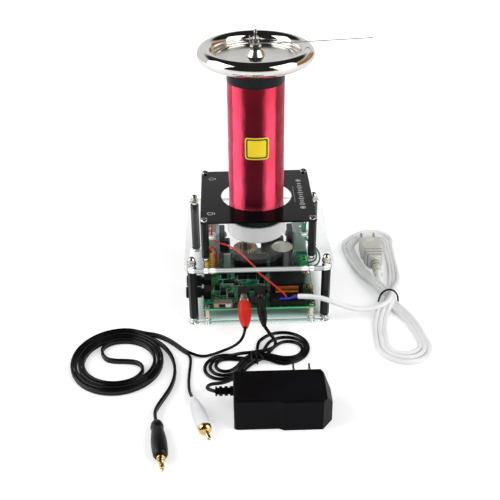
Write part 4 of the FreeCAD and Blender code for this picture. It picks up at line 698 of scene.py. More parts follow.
for row in range(21):
    for column in range(27):
        x = -45.5 + 3.4 * column + dice.uniform(-0.35, 0.35)
        y = -60.0 + 4.6 * row + dice.uniform(-0.5, 0.5)
        kind = dice.random()
        if any(x0 - SMALL_HALF_W < x < x1 + SMALL_HALF_W and y0 - SMALL_HALF_D < y < y1 + SMALL_HALF_D
               for x0, x1, y0, y1 in busy):
            continue
        if y > 34.0 or (abs(x) > 43.0 and (y < -57.0 or y > 30.0)):
            continue
        if kind < CAPACITORS_TO:
            tan_spots.append((x, y, board_top + CAPACITOR[2] / 2))
        elif kind < RESISTORS_TO:
            dark_spots.append((x, y, board_top + RESISTOR[2] / 2))
        elif kind < PADS_TO:
            pad_spots.append((x, y, board_top + PAD[2] / 2))
        if kind < RESISTORS_TO:
            end_spots += [(x + side, y, board_top + END_MID) for side in (-END_OUT, END_OUT)]
tan_ceramic = finish("tan_ceramic", tint(170, 142, 104), tint(148, 120, 84), 0.4, cloud=400.0)
bars_at("small_capacitors", tan_spots, CAPACITOR, tan_ceramic)
bars_at("small_resistors", dark_spots, RESISTOR, chip_black)
bars_at("small_part_ends", end_spots, PART_END, tinned)
bars_at("solder_pads", pad_spots, PAD, tinned)

outline = bmesh.new()
LINE = 0.18
OUTLINE_CLEAR = 1.1
for x, y, width, depth in chips:
    half_w, half_d = width / 2 + OUTLINE_CLEAR, depth / 2 + OUTLINE_CLEAR
    x0, x1, y0, y1 = x - half_w, x + half_w, y - half_d, y + half_d
    for low, high in (((x0, y0), (x1, y0 + LINE)), ((x0, y1 - LINE), (x1, y1)),
                      ((x0, y0), (x0 + LINE, y1)), ((x1 - LINE, y0), (x1, y1))):
        rounded_box(outline, (*low, board_top), (*high, board_top + INK))
    washer(outline, x0 - 0.7, y0 + 0.6, board_top, 0.4, 0.0, INK, 10)
on_stand(solid("part_outlines", outline, print_white))

# ------------------------------------------------------------------ knobs, pots and switch
# Two fluted black knobs turn the shafts of side-mounted pots. The slide switch is a folded steel
# can, and its white button travels in a slot.
knob_black = finish("knob_black", tint(8, 8, 9), tint(13, 13, 14), 0.42, relief=0.25, edge=0.2,
                    shine=0.2)
dress(knob_black, "front_knob", "rear_knob", "pot_bodies")
can_steel = finish("switch_metal", tint(178, 166, 148), tint(156, 144, 128), 0.34, metallic=0.9,
                   stretch=(0.1, 1.0, 1.0), cloud=160.0)
dress(can_steel, "switch_can")
dress(finish("white_button", tint(240, 240, 240), tint(228, 228, 228), 0.3, edge=0.4), "switch_slider")

# ------------------------------------------------------------------ jacks
# Black moulded sockets with turned nickel collars, for the signal and for the low-voltage supply.
# The supply's collar is cut into ten darker spring prongs, and the cuts between them are painted shade.


def places_in(paint):
    """A finish's tree, and a point's X, Y and Z on its object."""
    return paint.node_tree, split(paint.node_tree, own_place(paint.node_tree))


def capped(paint, mask, colour, roughness, metallic):
    """Give the stretch where a mask is 1 another finish."""
    tree = paint.node_tree
    shader = tree.nodes["Principled BSDF"]
    painted_over(tree, mask, colour)
    before = shader.inputs["Roughness"].links[0].from_socket
    tree.links.new(put(tree, "ShaderNodeMix", {0: mask, 2: before, 3: roughness}).outputs[0],
                   shader.inputs["Roughness"])
    bare = shader.inputs["Metallic"].default_value
    share = put(tree, "ShaderNodeMapRange", {"Value": mask, "To Min": bare, "To Max": metallic})
    tree.links.new(share.outputs["Result"], shader.inputs["Metallic"])


dress(finish("jack_black", tint(14, 14, 15), tint(20, 20, 21), 0.4, relief=0.2, shine=0.25),
      "jack_bodies")
BETWEEN_COLLARS = (-6.5, -5.0)      # along X
SUPPLY_AXIS_X, SUPPLY_AXIS_Z = 1.3, 22.3
PRONGS = 10
collars = finish("jack_nickel", tint(250, 248, 244), tint(238, 234, 226), 0.24, metallic=0.35,
                 edge=0.2)
tree, axes = places_in(collars)
supply_side = ramp(tree, axes["X"], *in_metres(BETWEEN_COLLARS))
capped(collars, supply_side, tint(136, 132, 124), 0.3, 0.8)
prong = sum_of(tree, "ARCTAN2", sum_of(tree, "SUBTRACT", axes["Z"], SUPPLY_AXIS_Z * MM),
               sum_of(tree, "SUBTRACT", axes["X"], SUPPLY_AXIS_X * MM))
prong = sum_of(tree, "FRACT", sum_of(tree, "MULTIPLY", prong, PRONGS / math.tau))
# Painted shade: the narrow cuts between the prongs are darkened almost to black.
slit_painted_shade = sum_of(tree, "MULTIPLY", supply_side, ramp(tree, prong, 0.45, 0.55))
slit_painted_shade = sum_of(tree, "MULTIPLY", slit_painted_shade, 0.9)
painted_over(tree, slit_painted_shade, tint(10, 10, 11))
dress(collars, "jack_collars")

# ------------------------------------------------------------------ heat sinks and transistors
# Bent aluminium sinks stand at both sides of the board. A lilac silicone pad lies between each
# sink and its power transistor, whose three tinned legs go down to the board.
sink_alloy = finish("sink_aluminium", tint(176, 192, 184), tint(158, 176, 168), 0.36, metallic=0.45,
                    stretch=(1.0, 1.0, 0.12), cloud=55.0)
dress(sink_alloy, "heat_sinks")
dress(finish("pad_blue", tint(178, 188, 236), tint(164, 174, 226), 0.6, relief=0.3), "thermal_pads")
fet_skin = finish("transistor_epoxy", tint(15, 15, 16), tint(22, 22, 23), 0.4, relief=0.3, shine=0.25)
FET_LEG_LEN = 11.0
fet_low = board_top + FET_LEG_LEN
tree, axes = places_in(fet_skin)
capped(fet_skin, ramp(tree, axes["Z"], (fet_low - 0.1) * MM, fet_low * MM, 1.0, 0.0),
       tint(206, 206, 204), 0.3, 1.0)
dress(fet_skin, "power_transistors")

# ------------------------------------------------------------------ line choke
# A lacquered iron-powder ring with two windings of bright copper wire. Each is one layer outside
# and crowded into two at the ring's bore.


def islands(node, names, paints):
    """Stand for a CAD node with one piece for each of its solids, the most detailed first."""
    whole = bmesh.new()
    whole.from_mesh(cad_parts[node].data)
    bmesh.ops.remove_doubles(whole, verts=whole.verts, dist=1e-6)
    left = set(whole.faces)
    parts = []
    while left:
        part = [left.pop()]
        for face in part:
            near = {other for edge in face.edges for other in edge.link_faces} & left
            left -= near
            part.extend(near)
        lowest = min((round(v.co.x, 5), round(v.co.y, 5)) for face in part for v in face.verts)
        parts.append((-len(part), lowest, [face.index for face in part]))
    parts.sort()
    pieces = []
    for name, paint, (_, _, faces) in zip(names, paints, parts):
        copy = whole.copy()
        copy.faces.ensure_lookup_table()
        keep = set(faces)
        bmesh.ops.delete(copy, geom=[f for f in copy.faces if f.index not in keep], context="FACES")
        piece = solid(name, copy, paint)
        pieces.append(on_stand(piece, node))
    whole.free()
    return pieces


def spline(curve, route):
    """Add a smooth line to a curve; its points are in millimetres."""
    line = curve.splines.new("NURBS")
    line.points.add(len(route) - 1)
    for spot, place in zip(line.points, route):
        spot.co = (*in_metres(place), 1.0)
    line.order_u = 3
    line.use_endpoint_u = True


def flex(name, route, diameter, paint, round_steps=5, line_steps=8, capped_ends=True):
    """A cord or a wire as one smooth spline; its route is in millimetres."""
    curve = bpy.data.curves.new(name, "CURVE")
    curve.dimensions = "3D"
    curve.bevel_depth = diameter / 2 * MM
    curve.bevel_resolution = round_steps
    curve.resolution_u = line_steps
    curve.use_fill_caps = capped_ends
    spline(curve, route)
    curve.materials.append(paint)
    return linked(name, curve)


choke_core_skin = finish("choke_core", tint(16, 36, 32), tint(12, 26, 24), 0.4, relief=0.3)
copper = finish("choke_copper", tint(246, 208, 158), tint(222, 176, 124), 0.26, metallic=0.4,
                cloud=260.0, relief=0.03)
(choke_x0, choke_y0, choke_z0), (choke_x1, choke_y1, choke_z1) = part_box("line_choke")
choke_middle = ((choke_x0 + choke_x1) / 2 / MM, (choke_y0 + choke_y1) / 2 / MM)
choke_outer_r = (choke_y1 - choke_y0) / 2 / MM - 0.5
CHOKE_BORE_R = 6.0
CHOKE_TURNS = 11
CHOKE_WIRE = 0.95
CHOKE_ARC = 156.0
STRAND_STEPS = 14
BORE_LAYERS = (1.35, 0.5)           # every second turn lies deeper in the bore
choke_z = ((choke_z0 + choke_z1) / 2) / MM
choke_half_h = (choke_z1 - choke_z0) / 2 / MM - CHOKE_WIRE / 2


def choke_turns(name, middle_angle):
    """A wire wound round part of the ring."""
    points = []
    for k in range(CHOKE_TURNS * STRAND_STEPS + 1):
        share = k / (CHOKE_TURNS * STRAND_STEPS)
        turn = 2 * math.pi * k / STRAND_STEPS
        along = math.radians(middle_angle + CHOKE_ARC * (share - 0.5))
        bore = CHOKE_BORE_R + BORE_LAYERS[int(k / STRAND_STEPS) % 2]
        mid, half = (choke_outer_r + bore) / 2, (choke_outer_r - bore) / 2
        c, s = math.cos(turn), math.sin(turn)
        r = mid + half * math.copysign(abs(c) ** 0.5, c)
        z = choke_z + choke_half_h * math.copysign(abs(s) ** 0.5, s)
        points.append((choke_middle[0] + r * math.cos(along), choke_middle[1] + r * math.sin(along), z))
    on_stand(flex(name, points, CHOKE_WIRE, copper, 1, 3, False), "line_choke", slot="choke_copper")


islands("line_choke", ("choke_core",), (choke_core_skin,))
choke_turns("choke_winding_right", 0.0)
choke_turns("choke_winding_left", 180.0)

# ------------------------------------------------------------------ reservoir capacitor
# An aluminium can in a shrunk black sleeve, with a pale stripe down its front, and a scored bare
# top that would vent along its cross.
sleeve = finish("can_sleeve", tint(12, 13, 15), tint(18, 19, 22), 0.2, cloud=80.0, shine=0.3)
(can_x0, can_y0, _), (can_x1, can_y1, can_top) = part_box("reservoir_can")
can_middle = ((can_x0 + can_x1) / 2, (can_y0 + can_y1) / 2)
tree, axes = places_in(sleeve)
east = sum_of(tree, "SUBTRACT", axes["X"], can_middle[0])
north = sum_of(tree, "SUBTRACT", axes["Y"], can_middle[1])
near_axis = put(tree, "ShaderNodeVectorMath",
                {0: put(tree, "ShaderNodeCombineXYZ", {"X": east, "Y": north}).outputs[0]},
                operation="LENGTH").outputs["Value"]
STRIPE_FACE = (-0.009, -0.0085)     # the can's front, along Y from its axis
STRIPE_RIGHT = 0.003
STRIPE_HALF = (0.002, 0.0023)
TOP_DEPTH = (0.0012, 0.001)         # how far the bare top reaches down
BARE_TOP_R = (0.0096, 0.0099)
CUT_HALF, CUT_DEPTH = (0.0002, 0.0005), -3.0
from_stripe = sum_of(tree, "ABSOLUTE", sum_of(tree, "SUBTRACT", east, STRIPE_RIGHT))
stripe = sum_of(tree, "MULTIPLY", ramp(tree, north, *STRIPE_FACE, 1.0, 0.0),
                ramp(tree, from_stripe, *STRIPE_HALF, 1.0, 0.0))
capped(sleeve, stripe, tint(84, 86, 90), 0.3, 0.0)
bare_top = sum_of(tree, "MULTIPLY", ramp(tree, near_axis, *BARE_TOP_R, 1.0, 0.0),
                  ramp(tree, axes["Z"], can_top - TOP_DEPTH[0], can_top - TOP_DEPTH[1]))
capped(sleeve, bare_top, tint(232, 231, 216), 0.3, 0.7)
scored = sum_of(tree, "MINIMUM", sum_of(tree, "ABSOLUTE", east), sum_of(tree, "ABSOLUTE", north))
raised(tree, sum_of(tree, "MULTIPLY", ramp(tree, scored, *CUT_HALF, CUT_DEPTH, 0.0), bare_top))
dress(sleeve, "reservoir_can")

# ------------------------------------------------------------------ film capacitors
# Two black box film capacitors fill the rear edge of the board, one beside the choke and one
# behind the left transistor. Each is a moulded case with soft edges, potted from below.
film_case = finish("film_case", tint(13, 13, 15), tint(19, 19, 22), 0.34, relief=0.25, edge=0.4,
                   shine=0.3)
FILM_BOXES = ((5.4, 27.4, 27.0, 35.6, 15.0), (-32.6, -24.6, 28.4, 35.8, 13.0))
FILM_CORNER = 0.8
films = bmesh.new()
for low_x, high_x, low_y, high_y, tall in FILM_BOXES:
    rounded_box(films, (low_x, low_y, board_top), (high_x, high_y, board_top + tall), FILM_CORNER, 3)
on_stand(solid("film_capacitors", films, film_case))

# ------------------------------------------------------------------ transformer and mains cover
# A small ferrite transformer lies in front of the can: black core halves round a bobbin with
# brown and amber tape. The mains joints in front of it are under a black moulded cover.
dress(finish("ferrite", tint(15, 15, 17), tint(22, 22, 24), 0.46, relief=0.5, cloud=150.0, shine=0.25),
      "trafo_core")
amber = finish("amber_winding", tint(152, 82, 32), tint(132, 68, 26), 0.34, cloud=200.0)
tree, axes = places_in(amber)
bobbin_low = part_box("trafo_winding")[0][2]
AMBER_BAND = ((0.0004, 0.0006), (0.0026, 0.0029))     # above the bobbin's foot
DARK_ROW, DARK_ROW_HALF = 0.0036, (0.0005, 0.0007)
up_bobbin = sum_of(tree, "SUBTRACT", axes["Z"], bobbin_low)
bright = sum_of(tree, "MULTIPLY", ramp(tree, up_bobbin, *AMBER_BAND[0]),
                ramp(tree, up_bobbin, *AMBER_BAND[1], 1.0, 0.0))
capped(amber, bright, tint(244, 144, 30), 0.26, 0.0)
off_row = sum_of(tree, "ABSOLUTE", sum_of(tree, "SUBTRACT", up_bobbin, DARK_ROW))
capped(amber, ramp(tree, off_row, *DARK_ROW_HALF, 1.0, 0.0), tint(52, 38, 24), 0.4, 0.0)
dress(amber, "trafo_winding")
dress(finish("cover_black", tint(13, 13, 14), tint(18, 18, 20), 0.36, cloud=40.0, relief=0.2,
             edge=0.4, shine=0.25), "mains_cover")

# ------------------------------------------------------------------ gold coil
# A small upright coil of gold-lacquered copper wire, its turns in ten visible bands, with painted
# shade in the grooves between them. Its ends are soldered to the board.
gold_wire = finish("gold_wire", tint(226, 184, 84), tint(206, 160, 60), 0.3, metallic=0.5, cloud=220.0)
tree, axes = places_in(gold_wire)
(_, _, gold_low), (_, _, gold_top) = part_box("gold_coil")
GOLD_BANDS = 10
phase = sum_of(tree, "MULTIPLY", axes["Z"], GOLD_BANDS / (gold_top - gold_low))
offset = GOLD_BANDS * gold_low / (gold_top - gold_low)
phase = sum_of(tree, "FRACT", sum_of(tree, "SUBTRACT", phase, offset))
# Painted shade: the grooves between the bands are darkened.
groove_painted_shade = ramp(tree, sum_of(tree, "ABSOLUTE", sum_of(tree, "SUBTRACT", phase, 0.5)), 0.34, 0.48)
capped(gold_wire, groove_painted_shade, tint(84, 58, 22), 0.5, 0.4)
dress(gold_wire, "gold_coil")

# ------------------------------------------------------------------ terminal and fuse
# A green two-way screw terminal takes the coil's leads. The mains fuse is a glass tube with
# nickel caps in two sprung clips.
dress(finish("terminal_green", tint(70, 182, 108), tint(56, 160, 92), 0.34, relief=0.2), "coil_terminal")
(term_x0, term_y0, _), (term_x1, term_y1, term_top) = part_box("coil_terminal")
SCREW_PITCH, SCREW_SUNK, SCREW_R = 5.08, 2.7, 1.45
screws = bmesh.new()
for k in (-0.5, 0.5):
    washer(screws, (term_x0 + term_x1) / 2 / MM, (term_y0 + term_y1) / 2 / MM + k * SCREW_PITCH,
           term_top / MM - SCREW_SUNK, SCREW_R, 0.0, 0.5, 20)
on_stand(solid("terminal_screws", screws, nickel_plate))
CAP_LEN = 0.0064
GLASS_SEEN = 0.35


def fuse_glass():
    """Clear glass in the middle, plated caps over both ends."""
    paint = finish("fuse_glass", tint(214, 222, 210), tint(198, 206, 192), 0.08, cloud=120.0)
    tree, axes = places_in(paint)
    (_, y0, _), (_, y1, _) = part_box("fuse_holder")
    from_middle = sum_of(tree, "ABSOLUTE", sum_of(tree, "SUBTRACT", axes["Y"], (y0 + y1) / 2))
    cap = ramp(tree, from_middle, (y1 - y0) / 2 - CAP_LEN - 0.0002, (y1 - y0) / 2 - CAP_LEN)
    capped(paint, cap, tint(186, 164, 104), 0.24, 1.0)
    tree.links.new(ramp(tree, cap, 0.0, 1.0, GLASS_SEEN, 1.0),
                   tree.nodes["Principled BSDF"].inputs["Alpha"])
    return paint


clip_metal = finish("fuse_clip", tint(190, 178, 150), tint(160, 146, 118), 0.26, metallic=1.0)
fuse_tube, *_ = islands("fuse_holder", ("fuse_tube", "fuse_clip_one", "fuse_clip_two"),
                        (fuse_glass(), clip_metal, clip_metal))

# ------------------------------------------------------------------ hook-up leads
# Silicone-sleeved leads inside the frame: two red and two teal ones, and the blue and brown
# cores that come out of the mains flex. Two pale rubber grommets sit in holes of a deck.
sleeves = {"red": finish("sleeve_red", tint(222, 44, 34), tint(206, 36, 28), 0.42),
           "teal": finish("sleeve_teal", tint(28, 142, 108), tint(22, 124, 94), 0.42),
           "blue": finish("sleeve_blue", tint(34, 62, 214), tint(28, 52, 190), 0.42),
           "brown": finish("sleeve_brown", tint(110, 58, 40), tint(92, 48, 34), 0.42)}
leads = islands("hookup_leads",
                ("red_lead", "teal_lead_one", "teal_lead_two", "red_loop", "blue_core", "brown_core"),
                [sleeves[c] for c in ("red", "teal", "teal", "red", "blue", "brown")])
dress(finish("grommet_rubber", tint(232, 230, 226), tint(214, 212, 206), 0.45, edge=0.3), "grommets")

# ------------------------------------------------------------------ mains cord
# A round PVC-sheathed flex from the driver board to a tied hank and a moulded two-pin plug.
# It leaves the board over its front edge, sags to the table and enters the hank on top of the tie.


def hank_loop(tie, rung, leave, back, lobe, side, floor_z, legs, early=0.0, steps=11):
    """One loop of a tied hank as three lists of points: its way out, its end and its way home.
    leave and back are its lanes in the tie, each an offset along the rung and a height. lobe is
    the end's centre, radius, oval share and the lean of that oval in degrees. legs tells, for
    shares of a leg's length, how far it has spread and how far it has come down."""
    centre, radius, oval, lean = lobe
    knot, middle, rung = Vector(tie), Vector(centre), Vector(rung)
    along = (middle - knot).normalized()
    across = (rung - along * rung.dot(along)).normalized() * side
    half_sweep = math.pi - math.acos(radius / (middle - knot).length) - math.radians(early)
    end = []
    for i in range(steps):
        a = half_sweep * (1 - 2 * i / (steps - 1))
        r = radius * (1 + oval * math.cos(2 * (a - math.radians(lean))))
        spot = middle + along * (r * math.cos(a)) + across * (r * math.sin(a))
        end.append((spot.x, spot.y, floor_z))

    def leg(lane, goal):
        start = knot + rung * lane[0]
        reach = (Vector(goal[:2]) - start).dot(along)
        offset = Vector(goal[:2]) - start - along * reach
        points = []
        for share, spread, drop in legs:
            spot = start + along * (reach * share) + offset * spread
            points.append((spot.x, spot.y, lane[1] + (floor_z - lane[1]) * drop))
        return points

    return leg(leave, end[0]), end, leg(back, end[-1])[::-1]


MAINS_D = 4.6
mains_tie_at = (120.5, -36.0)
mains_low, mains_mid, mains_top = MAINS_D / 2, MAINS_D * 3 / 2, 10.9
mains_route = [(34.6, -60.0, 25.4), (43.4, -63.6, 27.6), (53.4, -67.8, 28.6), (63.6, -69.4, 25.4),
               (73.6, -68.2, 20.0), (83.6, -64.8, 14.0), (92.6, -60.8, 10.0), (101.4, -58.6, 9.4),
               (108.6, -57.2, 10.8), (115.2, -53.4, 11.6), (120.0, -46.0, 11.4)]
far_ends = [((116.3, 67.5), 24.2, 0.17, 50.0), ((116.3, 63.5), 21.4, 0.15, 35.0),
            ((116.4, 61.5), 18.0, 0.12, 30.0)]
near_ends = [((121.3, -105.0), 23.2, 0.04, -30.0), ((122.0, -103.6), 18.7, 0.03, -20.0),
             ((122.0, -102.6), 14.3, 0.0, 0.0)]
up_lanes = [(2.3, mains_top), (MAINS_D, mains_low), (0.0, mains_low), (-MAINS_D, mains_low)]
down_lanes = [(-MAINS_D, mains_mid), (0.0, mains_mid), (MAINS_D, mains_mid)]
MAINS_LEGS = ((0.13, 0.17, 0.0), (0.28, 0.42, 0.1), (0.46, 0.68, 0.85), (0.72, 0.91, 1.0))
first_way_out = [(128.5, -22.0, 8.2), (133.6, -10.0, 4.8), (136.8, 6.0, 2.5)]


def in_tie(tie, rung, lane):
    return (tie[0] + rung[0] * lane[0], tie[1] + rung[1] * lane[0], lane[1])


def hank(tie, rung, up, down, far, near, floor_z, legs, early=0.0, first_out=None):
    """Three turns of a hank. Each goes through the tie in a lane of up, round its far end, back
    through a lane of down and round its near end."""
    points = []
    for i in range(3):
        points.append(in_tie(tie, rung, up[i]))
        out, end, home = hank_loop(tie, rung, up[i], down[i], far[i], 1, floor_z, legs, early)
        points += (first_out if first_out and i == 0 else out) + end + home
        points.append(in_tie(tie, rung, down[i]))
        out, end, home = hank_loop(tie, rung, down[i], up[i + 1], near[i], -1, floor_z, legs, early)
        points += out + end + home
    return points


mains_points = mains_route + hank(mains_tie_at, (1, 0), up_lanes, down_lanes, far_ends, near_ends,
                                  mains_low, MAINS_LEGS, first_out=first_way_out)
mains_points += [(115.9, -36.0, mains_low), (116.2, -25.0, mains_low), (116.5, -14.0, 2.4),
                 (116.8, -5.0, 4.4), (117.0, 2.6, 7.4)]

sheath_white = finish("mains_sheath", tint(250, 250, 251), tint(243, 243, 243), 0.34, cloud=40.0)
mains_flex = flex("mains_flex", mains_points, MAINS_D, sheath_white)
on_stand(mains_flex, "mains_cord", "mains_hank", slot="mains_sheath")

# ------------------------------------------------------------------ mains plug
# A pale moulded PVC plug that lets a little light in, with a ribbed strain relief at its neck whose
# grooves are painted darker as shade.
# Its two blades are stamped brass, plated, and are moulded in with the body.
plug_moulding = finish("mains_moulding", tint(240, 240, 232), tint(216, 216, 206), 0.26, cloud=60.0)
plug_shader = plug_moulding.node_tree.nodes["Principled BSDF"]
plug_shader.inputs["Subsurface Weight"].default_value = 0.3
plug_shader.inputs["Subsurface Radius"].default_value = (0.004, 0.004, 0.003)
tree, axes = places_in(plug_moulding)
RIB_PITCH = 0.0052
NECK_LEN, RIB_RELIEF = 0.036, 4.0
neck_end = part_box("mains_plug")[0][1] + NECK_LEN
rib_groove_and_shade = sum_of(tree, "FRACT", sum_of(tree, "MULTIPLY", axes["Y"], 1 / RIB_PITCH))
rib_groove_and_shade = ramp(tree, sum_of(tree, "ABSOLUTE", sum_of(tree, "SUBTRACT", rib_groove_and_shade, 0.5)), 0.24, 0.4)
rib_groove_and_shade = sum_of(tree, "MULTIPLY", rib_groove_and_shade, ramp(tree, axes["Y"], neck_end, neck_end + 0.001, 1.0, 0.0))
# Painted shade: the grooves between the ribs are darkened; the same mask sinks them in relief.
capped(plug_moulding, rib_groove_and_shade, tint(164, 164, 150), 0.4, 0.0)
raised(tree, sum_of(tree, "MULTIPLY", rib_groove_and_shade, -RIB_RELIEF))
blade_metal = finish("blade_plating", tint(206, 203, 192), tint(186, 180, 164), 0.26, metallic=1.0,
                     stretch=(1.0, 0.1, 1.0))
plug_body, blade_one, blade_two = islands("mains_plug", ("plug_body", "blade_one", "blade_two"),
                                          (plug_moulding, blade_metal, blade_metal))

# ------------------------------------------------------------------ cord ties
# Soft black twist ties, plastic round a thin wire, bent over each hank in a round arch. The
# supply cord's tie has two short free ends on top.
tie_skin = finish("tie_black", tint(9, 9, 10), tint(14, 14, 15), 0.4, shine=0.3)
TIE_D = 1.7


def round_tie(name, at, rung, half_width, height, tails=()):
    """A tie as one bent wire: an arch over the hank along its rung, and any tails at its top."""
    arch = []
    for k in range(9):
        turn = math.radians(-4 + 23.5 * k)
        over = half_width * math.cos(turn)
        arch.append((at[0] + rung[0] * over, at[1] + rung[1] * over,
                     TIE_D + (height - TIE_D) * math.sin(turn)))
    piece = flex(name, arch, TIE_D, tie_skin)
    for tail in tails:
        spline(piece.data, [(at[0] + rung[0] * across - rung[1] * ahead,
                             at[1] + rung[1] * across + rung[0] * ahead, z)
                            for across, ahead, z in tail])
    return on_stand(piece, "cord_ties", slot="tie_black")


mains_tie = round_tie("mains_tie", mains_tie_at, (1.0, 0.0), 9.2, 14.4)

# ------------------------------------------------------------------ supply cord
# A thin black low-voltage cord from the supply plug, through its tied hank, to the adapter.
# The hank is wound flat, three turns to each side, and is pinched by its tie.
SUPPLY_D = 3.0
supply_tie_at = (-7.0, -118.0)
supply_rung = Vector((-24.8, 51.8)).normalized()
supply_low, supply_mid, supply_top = SUPPLY_D / 2, SUPPLY_D * 3 / 2, 7.1
supply_route = [(2.5, -95.1, 19.8), (4.8, -99.0, 18.0), (8.4, -100.8, 13.4), (11.6, -103.6, 9.8),
                (11.6, -108.4, 8.0), (7.4, -111.4, 7.2), (1.4, -113.2, 7.0)]
right_ends = [((18.4, -102.4), 22.0, 0.0, 0.0), ((20.4, -104.2), 17.0, 0.03, 10.0),
              ((22.2, -105.4), 12.0, 0.05, 10.0)]
left_ends = [((-33.0, -127.0), 15.8, 0.04, -30.0), ((-31.4, -126.0), 12.4, 0.04, 0.0),
             ((-30.4, -124.6), 8.6, 0.05, 0.0)]
left_lanes = [(SUPPLY_D, supply_top), (SUPPLY_D, supply_low), (0.0, supply_low),
              (-SUPPLY_D, supply_low)]
right_lanes = [(-SUPPLY_D, supply_mid), (0.0, supply_mid), (SUPPLY_D, supply_mid)]
SUPPLY_EARLY = 22.0                 # degrees of each end's sweep that its legs take over
SUPPLY_LEGS = ((0.2, 0.1, 0.0), (0.42, 0.34, 0.25), (0.66, 0.7, 0.9), (0.85, 0.92, 1.0))
supply_points = supply_route + hank(supply_tie_at, supply_rung, left_lanes, right_lanes, left_ends,
                                    right_ends, supply_low, SUPPLY_LEGS, SUPPLY_EARLY)
supply_points.append(in_tie(supply_tie_at, supply_rung, left_lanes[3]))
supply_points += [(-11.6, -126.0, 1.5), (-17.4, -134.4, 1.8), (-25.3, -144.7, 2.6),
                  (-34.3, -151.8, 4.8), (-42.3, -156.1, 8.0), (-46.5, -162.9, 11.0),
                  (-44.6, -170.0, 13.4), (-39.3, -172.5, 14.0)]
supply_tails = (((-1.4, 0.2, 9.4), (-3.4, -1.6, 10.2), (-6.4, -3.4, 8.6), (-8.6, -4.4, 5.4)),
                ((1.2, 0.2, 9.4), (-0.4, 2.6, 10.4), (-3.6, 4.4, 9.4), (-6.8, 5.4, 6.4)))
supply_tie = round_tie("supply_tie", supply_tie_at, supply_rung, 6.0, 9.6, supply_tails)
cord_skin = finish("cord_black", tint(8, 8, 9), tint(12, 12, 13), 0.22, cloud=90.0, shine=0.24)
supply_flex = flex("supply_flex", supply_points, SUPPLY_D, cord_skin)
on_stand(supply_flex, "supply_cord", "supply_hank", "supply_tail", slot="cord_black")

# ------------------------------------------------------------------ plug-in adapter
# A black moulded wall adapter with cut corners and a ribbed cord relief. Its two flat blades are
# plated brass, and a slim moulded plug is at the cord's other end.
adapter_skin = finish("adapter_black", tint(9, 9, 12), tint(13, 13, 17), 0.4, cloud=30.0,
                      grain=2600.0, relief=0.35, edge=0.6, shine=0.07)
BLADE_LEN = 0.017
tree, axes = places_in(adapter_skin)
blade_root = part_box("adapter")[1][1] - BLADE_LEN
capped(adapter_skin, ramp(tree, axes["Y"], blade_root, blade_root + 0.0002),
       tint(176, 166, 138), 0.3, 1.0)
dress(adapter_skin, "adapter")
dress(finish("plug_black", tint(11, 11, 12), tint(17, 17, 18), 0.36, relief=0.3, shine=0.3),
      "supply_plug")

# ------------------------------------------------------------------ audio cable
# A flat black twin, two cores side by side on edge, laid in a loose double spiral. One end
# splits into single leads for the red and the white plug, the other goes into the stereo plug.
SINGLE_D = 2.6
TWIN_H = 2 * SINGLE_D
LOBE_R = 0.52 * SINGLE_D
split_at = (-62.8, -108.0)
on_edge = SINGLE_D
twin_start = [(*split_at, on_edge), (-67.6, -103.4, on_edge), (-72.2, -97.8, on_edge),
              (-77.6, -91.6, on_edge), (-84.2, -85.8, on_edge), (-92.0, -81.2, on_edge),
              (-101.0, -79.0, on_edge)]
stereo_route = [(-95.0, -86.8, on_edge), (-87.8, -93.2, on_edge), (-81.2, -102.0, on_edge),
                (-76.0, -113.4, on_edge), (-73.2, -126.4, on_edge), (-73.0, -140.0, on_edge),
                (-75.6, -153.2, on_edge), (-80.4, -165.0, on_edge), (-85.0, -176.0, 3.0),
                (-87.0, -187.0, 4.6), (-84.3, -198.0, 6.1)]
coil_middle = (-120.4, -117.3)
COIL_INNER = 28.0
COIL_GROWTH = 6.3
COIL_OVAL = 1.8


def spiral_arm(inner_angle, turn, step=24.0):
    """Points of one arm, from its inner end outwards, clockwise."""
    points = []
    count = round(turn / step)
    for i in range(count + 1):
        t = turn * i / count
        angle = math.radians(inner_angle - t)
        r = COIL_INNER + (COIL_GROWTH + COIL_OVAL * math.sin(angle) ** 2) * t / 360
        points.append((coil_middle[0] + r * math.cos(angle), coil_middle[1] + r * math.sin(angle),
                       on_edge))
    return points


crossing = [(-137.5, -99.5), (-133.6, -112.1), (-126.4, -116.5), (-111.3, -117.2),
            (-102.7, -120.3), (-98.7, -129.8)]
twin_points = (twin_start + spiral_arm(134.5, 793.5)[-2:0:-1]
               + [(x, y, on_edge) for x, y in crossing]
               + spiral_arm(-31.4, 640.6)[1:-1] + stereo_route)


def path_of(route):
    """Where the smooth spline of a route runs, as points in metres."""
    line = flex("path", route, 0.0, None)
    graph = bpy.context.evaluated_depsgraph_get()
    drawn = bpy.data.meshes.new_from_object(line.evaluated_get(graph))
    points = [vertex.co.copy() for vertex in drawn.vertices]
    bpy.data.meshes.remove(drawn)
    bpy.data.objects.remove(line)
    return points


def twin_on_edge(name, route, paint):
    """A figure-of-eight section, always upright, drawn along a route."""
    spine = path_of(route)
    section = [(LOBE_R * math.cos(math.radians(a)),
                TWIN_H / 2 - LOBE_R + LOBE_R * math.sin(math.radians(a))) for a in range(-40, 221, 37)]
    section += [(-across, -rise) for across, rise in section]
    mesh = bmesh.new()
    rings = []
    for i, spot in enumerate(spine):
        ahead = spine[min(i + 1, len(spine) - 1)] - spine[max(i - 1, 0)]
        side = Vector((ahead.y, -ahead.x, 0)).normalized()
        rings.append([mesh.verts.new(spot + side * (across * MM) + Vector((0, 0, rise * MM)))
                      for across, rise in section])
    for near, far in zip(rings, rings[1:]):
        band(mesh, near, far)
    mesh.faces.new(rings[0])
    mesh.faces.new(rings[-1][::-1])
    return solid(name, mesh, paint), spine


audio_twin, twin_path = twin_on_edge("audio_twin_cable", twin_points, cord_skin)
on_stand(audio_twin, "audio_twin", "audio_ring", "audio_stereo_lead", slot="cord_black")

